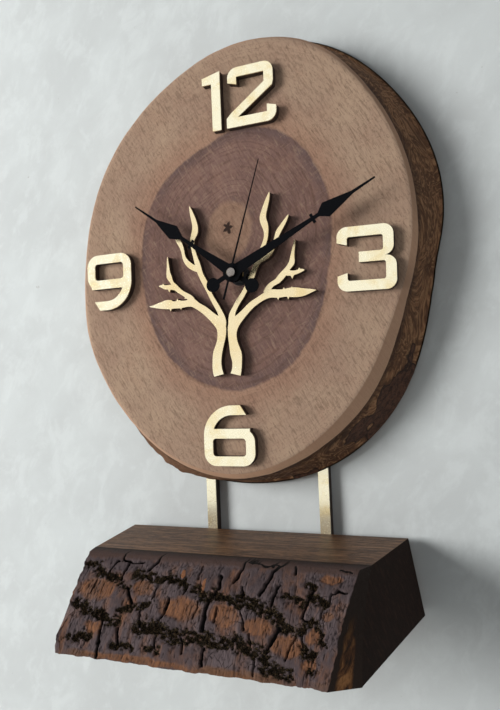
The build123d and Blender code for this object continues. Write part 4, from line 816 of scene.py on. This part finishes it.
def brokenLayers(t, tree, place, drop):
    # the broken end of the layer: dark above, warm wood below, with lines along the slope, and a dark rim
    layers = noise(placed(place, t["layerStretch"], t["layerTurn"]), *t["layers"])
    warm = mixed(eased(layers, *t["layerEdge"]), t["insideWarm"], t["insidePale"])
    inside = mixed(eased(drop, *t["warmFrom"]) * eased(layers, *t["warmBroken"]), t["inside"], warm)
    inward = field(tree, "inward")
    rim = calc("MAXIMUM", eased(inward, *t["rimFront"]), eased(inward, *t["rimBack"]))
    return mixed(rim, inside, t["inside"])


def barkMaterial(t):
    material, tree, shader, place = startMaterial("fissuredBark", 0.2)
    drop, flake = field(tree, "drop"), field(tree, "flake")
    broad = noise(place, *t["broad"])
    fine = noise(placed(place, t["fineStretch"]), *t["fine"])
    grain = noise(placed(place, t["grainStretch"]), *t["grain"])
    patterns = {"broad": broad, "grain": grain}
    plate = coated(t["plateDark"], patterns, t["plateCoats"], t)
    flakeTone = coated(t["flakeDark"], patterns, t["flakeCoats"], t)
    colour = mixed(flake * eased(fine, *t["flakeBroken"]), plate, flakeTone)
    colour = coated(colour, patterns, t["darkCoats"], t)
    colour = mixed(field(tree, "split") * t["splitShare"], colour, t["crack"])
    cells = {"Vector": placed(place, t["hairStretch"]), "Scale": t["hairlines"], "Randomness": 1.0}
    hairline = made("ShaderNodeTexVoronoi", cells, feature="DISTANCE_TO_EDGE")
    hair = eased(hairline, *t["hairEdge"]) * eased(broad, *t["hairWhere"])
    colour = mixed(hair * t["hairShare"], colour, t["crack"])
    colour = mixed(field(tree, "strip"), colour, mixed(fine, t["plateDark"], t["strip"]))
    footEdge = drop + centred(broad, t["footWander"])
    colour = mixed(eased(footEdge, *t["footEdge"]) * eased(broad, *t["footBroken"]), colour, t["foot"])
    mossTone = mixed(eased(noise(place, *t["speck"]), *t["mossTips"]), t["moss"], t["mossPale"])
    colour = mixed(eased(field(tree, "moss"), *t["mossEdge"]), colour, mossTone)
    colour = mixed(eased(field(tree, "crack"), *t["crackEdge"]), colour, t["crack"])
    torn = field(tree, "chip") + centred(fine, t["chipWander"])
    colour = mixed(eased(torn, *t["chipEdge"]), colour, mixed(grain, t["flakeDark"], t["chip"]))
    colour = mixed(field(tree, "outer"), brokenLayers(t, tree, place, drop), colour)
    height = fine + grain * t["grainDepth"] - hair * t["hairDepth"]
    dress(shader, colour, fine * t["roughVaried"] + t["roughness"], height, *t["relief"])
    return material


def mossMaterial(s):
    # nearly black at the root, some blades with dull olive tips
    material, tree, shader, place = startMaterial("dryMoss", 0.1, Roughness=0.9)
    tint = eased(field(tree, "pale"), 0.45, 0.95) * field(tree, "tip")
    fine = noise(place, 1800.0, 2.0, 0.6)
    dress(shader, mixed(tint, mixed(fine, s["root"], s["rootPale"]), s["tipTone"]), None, fine, 0.0001, 0.5)
    return material


shelfLook = {
    # end and endPale are near black: partly darker end grain, partly painted shade of an end face turned away
    # from the light
    "mid": tone(124, 90, 66), "pale": tone(170, 130, 96), "dark": tone(50, 34, 25), "end": tone(34, 24, 20),
    "endPale": tone(54, 38, 30),
    "streaks": (90, 900, 900), "fibres": (170, 420, 420),  # lumps per metre along X, Y and Z
    "coats": (("Fibre", 0.34, 0.68, 1, "mid"), ("Band", 0.4, 0.72, 0.6, "pale"),
              ("Streak", 0.52, 0.64, 0.6, "pale")),
    "darkStreak": (0.44, 0.36, 0.0, 0.7), "poreShare": 0.8, "poreDepth": 0.8,
    # the sawn ends, near black as darker end grain and painted shade: how far a face has to turn to be one,
    # and the stretch and slant of their rings
    "endFacing": (0.6, 0.85), "endStretch": (0.2, 0.5, 2.4), "endTurn": (64, 0, 0),
    "endRings": (260.0, 5.0, 0.65, 0.5), "endEdge": (0.46, 0.72), "endShare": 0.8,
    "roughness": 0.38, "roughVaried": 0.2, "endDuller": 0.42, "relief": (0.00025, 0.7),
}


def shelfWood(t):
    material, tree, shader, place = startMaterial("planedShelf", 0.13)
    patterns = useGroup(tree, fibreGroup, Place=placed(place, scale=t["fibres"]))
    fibre, pore = patterns["Fibre"], patterns["Pore"]
    streak = noise(placed(place, scale=t["streaks"]), 1.0, 3.0, 0.6)
    patterns["Streak"] = streak
    colour = coated(t["dark"], patterns, t["coats"], t)
    colour = mixed(eased(streak, *t["darkStreak"]), colour, t["dark"])
    colour = mixed(pore * t["poreShare"], colour, t["dark"])
    facing = axes(source(tree, "ShaderNodeNewGeometry", "Normal"))[0]
    atEnd = eased(calc("ABSOLUTE", facing), *t["endFacing"])
    rings = noise(placed(place, t["endStretch"], t["endTurn"]), *t["endRings"])
    # both sawn ends take the near-black tones, partly end grain and partly painted shade
    colour = mixed(atEnd, colour, mixed(eased(rings, *t["endEdge"]) * t["endShare"], t["end"], t["endPale"]))
    rough = fibre * t["roughVaried"] + (atEnd * t["endDuller"] + t["roughness"])
    dress(shader, colour, rough, fibre - pore * t["poreDepth"], *t["relief"])
    return material


metalLook = {
    "smearEdge": (0.42, 0.75), "speck": (1400.0, 2.0, 0.6), "speckEdge": (0.68, 0.76), "speckShare": 0.4,
    "markShare": 0.4, "smearRough": 0.14, "lineRough": 0.12, "slow": (70.0, 2.0, 0.5),
    "relief": (0.00006, 0.5),
}


def metal(name, colour, dull, roughness, scratch=0.6, fineness=1.0, wobble=0.0, metallic=1.0, golden=None):
    # a polished metal: smears change its gloss, scratches and a slow wobble bend its reflections
    t = metalLook
    material, tree, shader, place = startMaterial(name, Metallic=metallic)
    marks = useGroup(tree, scratchGroup, Place=place, Fineness=fineness)
    lines, smears = marks["Lines"], marks["Smears"]
    speck = eased(noise(place, *t["speck"]), *t["speckEdge"])
    base = mixed(eased(smears, *t["smearEdge"]), (*colour, 1), (*dull, 1))
    base = mixed(calc("MAXIMUM", lines, speck * t["speckShare"]) * t["markShare"], base, (*dull, 1))
    if golden:  # deeper in colour round the arbor than out at the numerals
        arbor = (arborX, golden["depth"], arborZ)
        reach = made("ShaderNodeVectorMath", {0: place, 1: arbor}, "Value", operation="DISTANCE")
        near = eased(reach, golden["far"], golden["near"]) * golden["share"]
        base = mixed(near, base, golden["tone"])
    rough = smears * t["smearRough"] + roughness + lines * t["lineRough"]
    height = lines * -scratch + noise(place, *t["slow"]) * wobble
    dress(shader, base, rough, height, *t["relief"])
    return material


def backingWood(name, dark, pale):
    # laser-cut board: scorched edges with fine upright lines
    material, tree, shader, place = startMaterial(name)
    upright = placed(place, scale=(900, 500, 900), turn=(0, 0, 90))
    fibre = useGroup(tree, fibreGroup, Place=upright)["Fibre"]
    dress(shader, mixed(eased(fibre, 0.38, 0.7), dark, pale), fibre * 0.2 + 0.55, fibre, 0.0001, 0.5)
    return material


def plastic(name, colour, dusty, roughness, grain=2500.0, depth=0.00004):
    material, tree, shader, place = startMaterial(name, 0.45)
    skin = useGroup(tree, skinGroup, Place=place, Grain=grain)
    base = mixed(eased(skin["Dust"], 0.42, 0.8), tone(*colour), tone(*dusty))
    dress(shader, base, skin["Dust"] * 0.18 + roughness, skin["Height"], depth, 0.6)
    return material


def handPaint():
    material, tree, shader, place = startMaterial("blackHandPaint", 0.06)
    marks = useGroup(tree, scratchGroup, Place=place, Fineness=1.6)
    skin = useGroup(tree, skinGroup, Place=place, Grain=1800.0)
    base = mixed(marks["Lines"] * 0.3, tone(6, 7, 10), tone(26, 28, 33))
    dress(shader, base, marks["Smears"] * 0.2 + 0.36, skin["Height"], 0.00003, 0.5)
    return material


batteryLook = {
    "sleeve": tone(28, 29, 33), "dusty": tone(44, 45, 50), "copper": tone(186, 122, 72),
    "bare": tone(190, 190, 188),
    # edges of the finishes, in metres from the ends
    "copperFrom": (0.0165, 0.0161), "bareHigh": (0.0024, 0.0022), "bareLow": (0.0006, 0.0004),
}


def batterySleeve(t):
    # a plain dark sleeve with a copper-coloured band at the positive end and bare ends
    material, tree, shader, place = startMaterial("batterySleeve", 0.5)
    low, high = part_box("battery")
    x = axes(place)[0]
    copper = eased(x, *(high.x - inset for inset in t["copperFrom"]))
    bareHigh = eased(x, *(high.x - inset for inset in t["bareHigh"]))
    bare = calc("MAXIMUM", bareHigh, eased(x, *(low.x + inset for inset in t["bareLow"])))
    skin = useGroup(tree, skinGroup, Place=place, Grain=900.0)
    base = mixed(copper, mixed(skin["Dust"], t["sleeve"], t["dusty"]), t["copper"])
    feed(shader, {"Metallic": eased(bare, 0.2, 0.8)})
    dress(shader, mixed(bare, base, t["bare"]), skin["Dust"] * 0.15 + 0.28, skin["Height"], 0.00002, 0.4)
    return material


def coilWire():
    # fine turns of enamelled wire side by side along the core, pale along each turn and dark between turns as
    # painted highlight and painted shade
    material, tree, shader, place = startMaterial("coilWire", Metallic=0.85)
    wave = {"Vector": place, "Scale": 900.0, "Distortion": 0.6, "Detail": 2.0}
    turns = made("ShaderNodeTexWave", wave, 1, bands_direction="X")
    dust = useGroup(tree, skinGroup, Place=place, Grain=1500.0)["Dust"]
    # the banding is painted highlight on the turns and painted shade between them
    base = mixed(turns, tone(110, 58, 32), tone(206, 126, 78))
    dress(shader, base, dust * 0.2 + 0.25, turns, 0.00008, 0.8)
    return material


brassDepth = {"depth": -0.033, "near": 0.05, "far": 0.078, "share": 0.62, "tone": (0.86, 0.67, 0.36, 1)}
# colour where clean, colour where dull or dusty, roughness, then what differs from the usual
materials = {
    "dial_wood": dialWood(dialLook),
    "shelf_wood": shelfWood(shelfLook),
    "bark": barkMaterial(barkLook),
    # the clean brass colour, paler out at the numerals than round the arbor, is partly painted highlight of a
    # bright glare
    "polished_brass": metal("polishedBrass", (0.98, 0.92, 0.69), (0.90, 0.74, 0.41), 0.16, scratch=0.8,
                            wobble=1.0, metallic=0.75, golden=brassDepth),
    "dark_wood": backingWood("scorchedBacking", tone(26, 16, 12), tone(62, 41, 29)),
    "bar_core": plastic("darkBarPaint", (38, 25, 19), (54, 37, 28), 0.4, grain=1600.0),
    "steel": metal("zincSteel", (0.60, 0.60, 0.61), (0.42, 0.42, 0.43), 0.34, scratch=0.8, fineness=1.4),
    "hand_black": handPaint(),
    # the cap is darker and warmer than chrome: painted reflection of the dark wood round it
    "cap_chrome": metal("capDome", (0.32, 0.29, 0.27), (0.2, 0.17, 0.15), 0.2, fineness=2.0),
    "case_plastic": plastic("casePlastic", (24, 24, 26), (44, 44, 46), 0.5, grain=3200.0, depth=0.00006),
    "gear_plastic": plastic("gearPlastic", (222, 221, 210), (204, 202, 190), 0.38),
    "magnet": metal("sinteredMagnet", (0.2, 0.2, 0.21), (0.1, 0.1, 0.11), 0.5, scratch=0.4),
    # the hub's fittings are dark brass and black: partly their finish, partly painted shade of the shadow
    # round the hub
    "fitting_brass": metal("turnedBrassAndShade", (0.46, 0.34, 0.18), (0.26, 0.19, 0.1), 0.34, scratch=0.7,
                           fineness=1.8),
    "black_fitting": plastic("blackFittingAndShade", (16, 17, 20), (30, 30, 33), 0.42, grain=2600.0, depth=0.00002),
    "gasket_rubber": plastic("gasketRubber", (26, 26, 26), (46, 45, 44), 0.75, grain=1500.0, depth=0.0001),
    "stator_steel": metal("statorSteel", (0.45, 0.45, 0.47), (0.3, 0.3, 0.31), 0.4, scratch=0.5,
                          fineness=1.4),
    "copper_wire": coilWire(),
    "battery_skin": batterySleeve(batteryLook),
    "board_green": plastic("solderMask", (20, 88, 58), (32, 106, 74), 0.3, grain=1200.0),
    "crystal_can": metal("crystalCan", (0.72, 0.73, 0.75), (0.5, 0.5, 0.52), 0.3, scratch=0.5, fineness=2.0),
}
print("materials built:", len(materials))

slotOf = {row["node"]: row["material_slot"] for row in frame["record"]["subparts"]}
for name, piece in nodes.items():
    piece.data.materials.clear()
    piece.data.materials.append(materials[slotOf[name]])

trunk = trunkSlice(slice_)
trunk.data.materials.append(materials["dial_wood"])
print("trunk slice:", len(trunk.data.polygons), "faces")
bark, barkPlaces, barkMoss, barkOutward = barkFront(bark_)
bark.data.materials.append(materials["bark"])
print("bark front:", len(bark.data.polygons), "faces")
tufts = mossTufts(moss_, barkPlaces, barkMoss, barkOutward)
tufts.data.materials.append(mossMaterial(moss_))
print("moss tufts:", len(tufts.data.polygons), "faces")

stage_ = {
    "wallY": 0.0054, "wallHalf": 2.2, "floor": -0.66, "floorHalf": 4.0,
    "wall": tone(206, 212, 213), "wallDark": tone(197, 202, 203), "wallPale": tone(214, 220, 221),
    "wallPit": tone(140, 138, 132), "floorTone": tone(206, 205, 202), "floorPale": tone(214, 213, 210),
    "coats": (("cloud", 0.36, 0.66, 0.8, "wall"), ("vein", 0.46, 0.66, 0.5, "wallPale"),
              ("pit", 0.74, 0.80, 0.4, "wallPit")),
}


def flatSheet(name, corners, material):
    mesh = bpy.data.meshes.new(name)
    mesh.from_pydata(corners, [], [tuple(range(len(corners)))])
    mesh.materials.append(material)
    sheet = linked(name, mesh)
    return sheet


def wallPlaster(s):
    # mottled plaster that is clear from behind, so that the clock's back can be looked at
    material, tree, shader, place = startMaterial("wallPlaster", 0.2, Roughness=0.75)
    cloud = noise(placed(place, turn=(0, 33, 0), scale=(1, 1, 1.4)), 12.0, 6.0, 0.6, 0.3)
    vein = noise(placed(place, turn=(0, -28, 0), scale=(1.6, 1, 1)), 38.0, 6.0, 0.68, 0.4)
    patterns = {"cloud": cloud, "vein": vein, "pit": noise(place, 150.0, 3.0, 0.5)}
    colour = coated(s["wallDark"], patterns, s["coats"], s)
    dress(shader, colour, None, cloud + noise(place, 420.0, 4.0, 0.65) * 0.3, 0.0006, 0.35)
    clear = source(tree, "ShaderNodeBsdfTransparent", 0)
    behind = source(tree, "ShaderNodeNewGeometry", "Backfacing")
    blend = made("ShaderNodeMixShader", {0: behind, 1: Channel(shader.outputs[0]), 2: clear})
    feed(tree.nodes["Material Output"], {"Surface": blend})
    return material


def paleFloor(s):
    material, _, shader, place = startMaterial("paleFloor", Roughness=0.8)
    dress(shader, mixed(noise(place, 3.0, 5.0, 0.6), s["floorTone"], s["floorPale"]))
    return material


def buildStage(s):
    y, half, floor, edge = s["wallY"], s["wallHalf"], s["floor"], s["floorHalf"]
    corners = [(-half, y, floor), (half, y, floor), (half, y, half), (-half, y, half)]
    wall = flatSheet("wall", corners, wallPlaster(s))
    wall.visible_diffuse = wall.visible_shadow = wall.visible_transmission = False
    corners = [(-edge, -edge, floor), (edge, -edge, floor), (edge, edge, floor), (-edge, edge, floor)]
    ground = flatSheet("floorSheet", corners, paleFloor(s))
    ground.visible_glossy = False  # the brass mirrors the pale room, not the floor


light_ = {
    "key": (-1.72, -1.52, 0.14), "keySize": 1.1, "keyPower": 62.0, "keyTone": (1.0, 0.985, 0.96),
    "fill": (0.9, -1.9, 0.5), "fillSize": 1.4, "fillPower": 2.4, "aim": (0.0, 0.0, -0.13),
    "ambient": (0.93, 0.97, 1.0, 1), "ambientLevel": 0.13,
    "roomLeft": (1.0, 1.0, 0.99, 1), "roomRight": (0.80, 0.80, 0.80, 1),
}


def lamp(name, place, target, size, power, colour=(1, 1, 1)):
    # its glare doesn't show in the brass, which mirrors the pale room instead
    data = bpy.data.lights.new(name, "AREA")
    data.shape, data.size, data.energy, data.color = "DISK", size, power, colour
    light = linked(name, data)
    light.location = place
    light.rotation_euler = (Vector(target) - Vector(place)).to_track_quat("-Z", "Y").to_euler()
    light.visible_glossy = False


def buildWorld(s):
    # a pale room for the camera and for mirrors, and a dim even light for all else
    world = bpy.data.worlds.new("paleRoom")
    bpy.context.scene.world = world
    world.use_nodes = True
    tree = world.node_tree
    tree.nodes.clear()
    path = put(tree, "ShaderNodeLightPath").outputs
    kinds = ("Is Camera Ray", "Is Glossy Ray", "Is Transmission Ray")
    camera, glossy, through = (Channel(path[kind]) for kind in kinds)
    seen = calc("MAXIMUM", camera, calc("MAXIMUM", glossy, through))
    across = axes(source(tree, "ShaderNodeTexCoord", "Generated"))[0]
    room = mixed(eased(across, -0.6, 0.9), s["roomLeft"], s["roomRight"])
    dim = {"Color": s["ambient"], "Strength": s["ambientLevel"]}
    ambient = source(tree, "ShaderNodeBackground", 0, inputs=dim)
    shown = made("ShaderNodeBackground", {"Color": room, "Strength": 1.0})
    blend = made("ShaderNodeMixShader", {0: seen, 1: ambient, 2: shown})
    put(tree, "ShaderNodeOutputWorld", {"Surface": blend})


buildStage(stage_)
buildWorld(light_)
lamp("windowLamp", light_["key"], light_["aim"], light_["keySize"], light_["keyPower"], light_["keyTone"])
lamp("fillLamp", light_["fill"], light_["aim"], light_["fillSize"], light_["fillPower"])

camera_ = {
    "eye": (0.16643, -0.43240, -0.17338), "azimuth": 22.0, "elevation": -2.07, "roll": -2.42,
    "lens": 33.39, "sensor": 36.0, "nearest": 0.01,
}


def buildCamera(c):
    az, el, roll = (math.radians(c[k]) for k in ("azimuth", "elevation", "roll"))
    back = np.array([math.sin(az) * math.cos(el), -math.cos(az) * math.cos(el), math.sin(el)])
    right = np.cross(-back, (0, 0, 1))
    right /= np.linalg.norm(right)
    up = np.cross(right, -back)
    right, up = math.cos(roll) * right + math.sin(roll) * up, math.cos(roll) * up - math.sin(roll) * right
    data = bpy.data.cameras.new("photoCamera")
    data.lens, data.sensor_width, data.clip_start = c["lens"], c["sensor"], c["nearest"]
    camera = linked("photoCamera", data)
    turned = Matrix([list(row) for row in np.stack([right, up, back], 1)]).to_4x4()
    camera.matrix_world = Matrix.Translation(c["eye"]) @ turned
    bpy.context.scene.camera = camera


buildCamera(camera_)
bpy.context.scene.view_settings.view_transform = "Standard"
print("stage and camera ready")
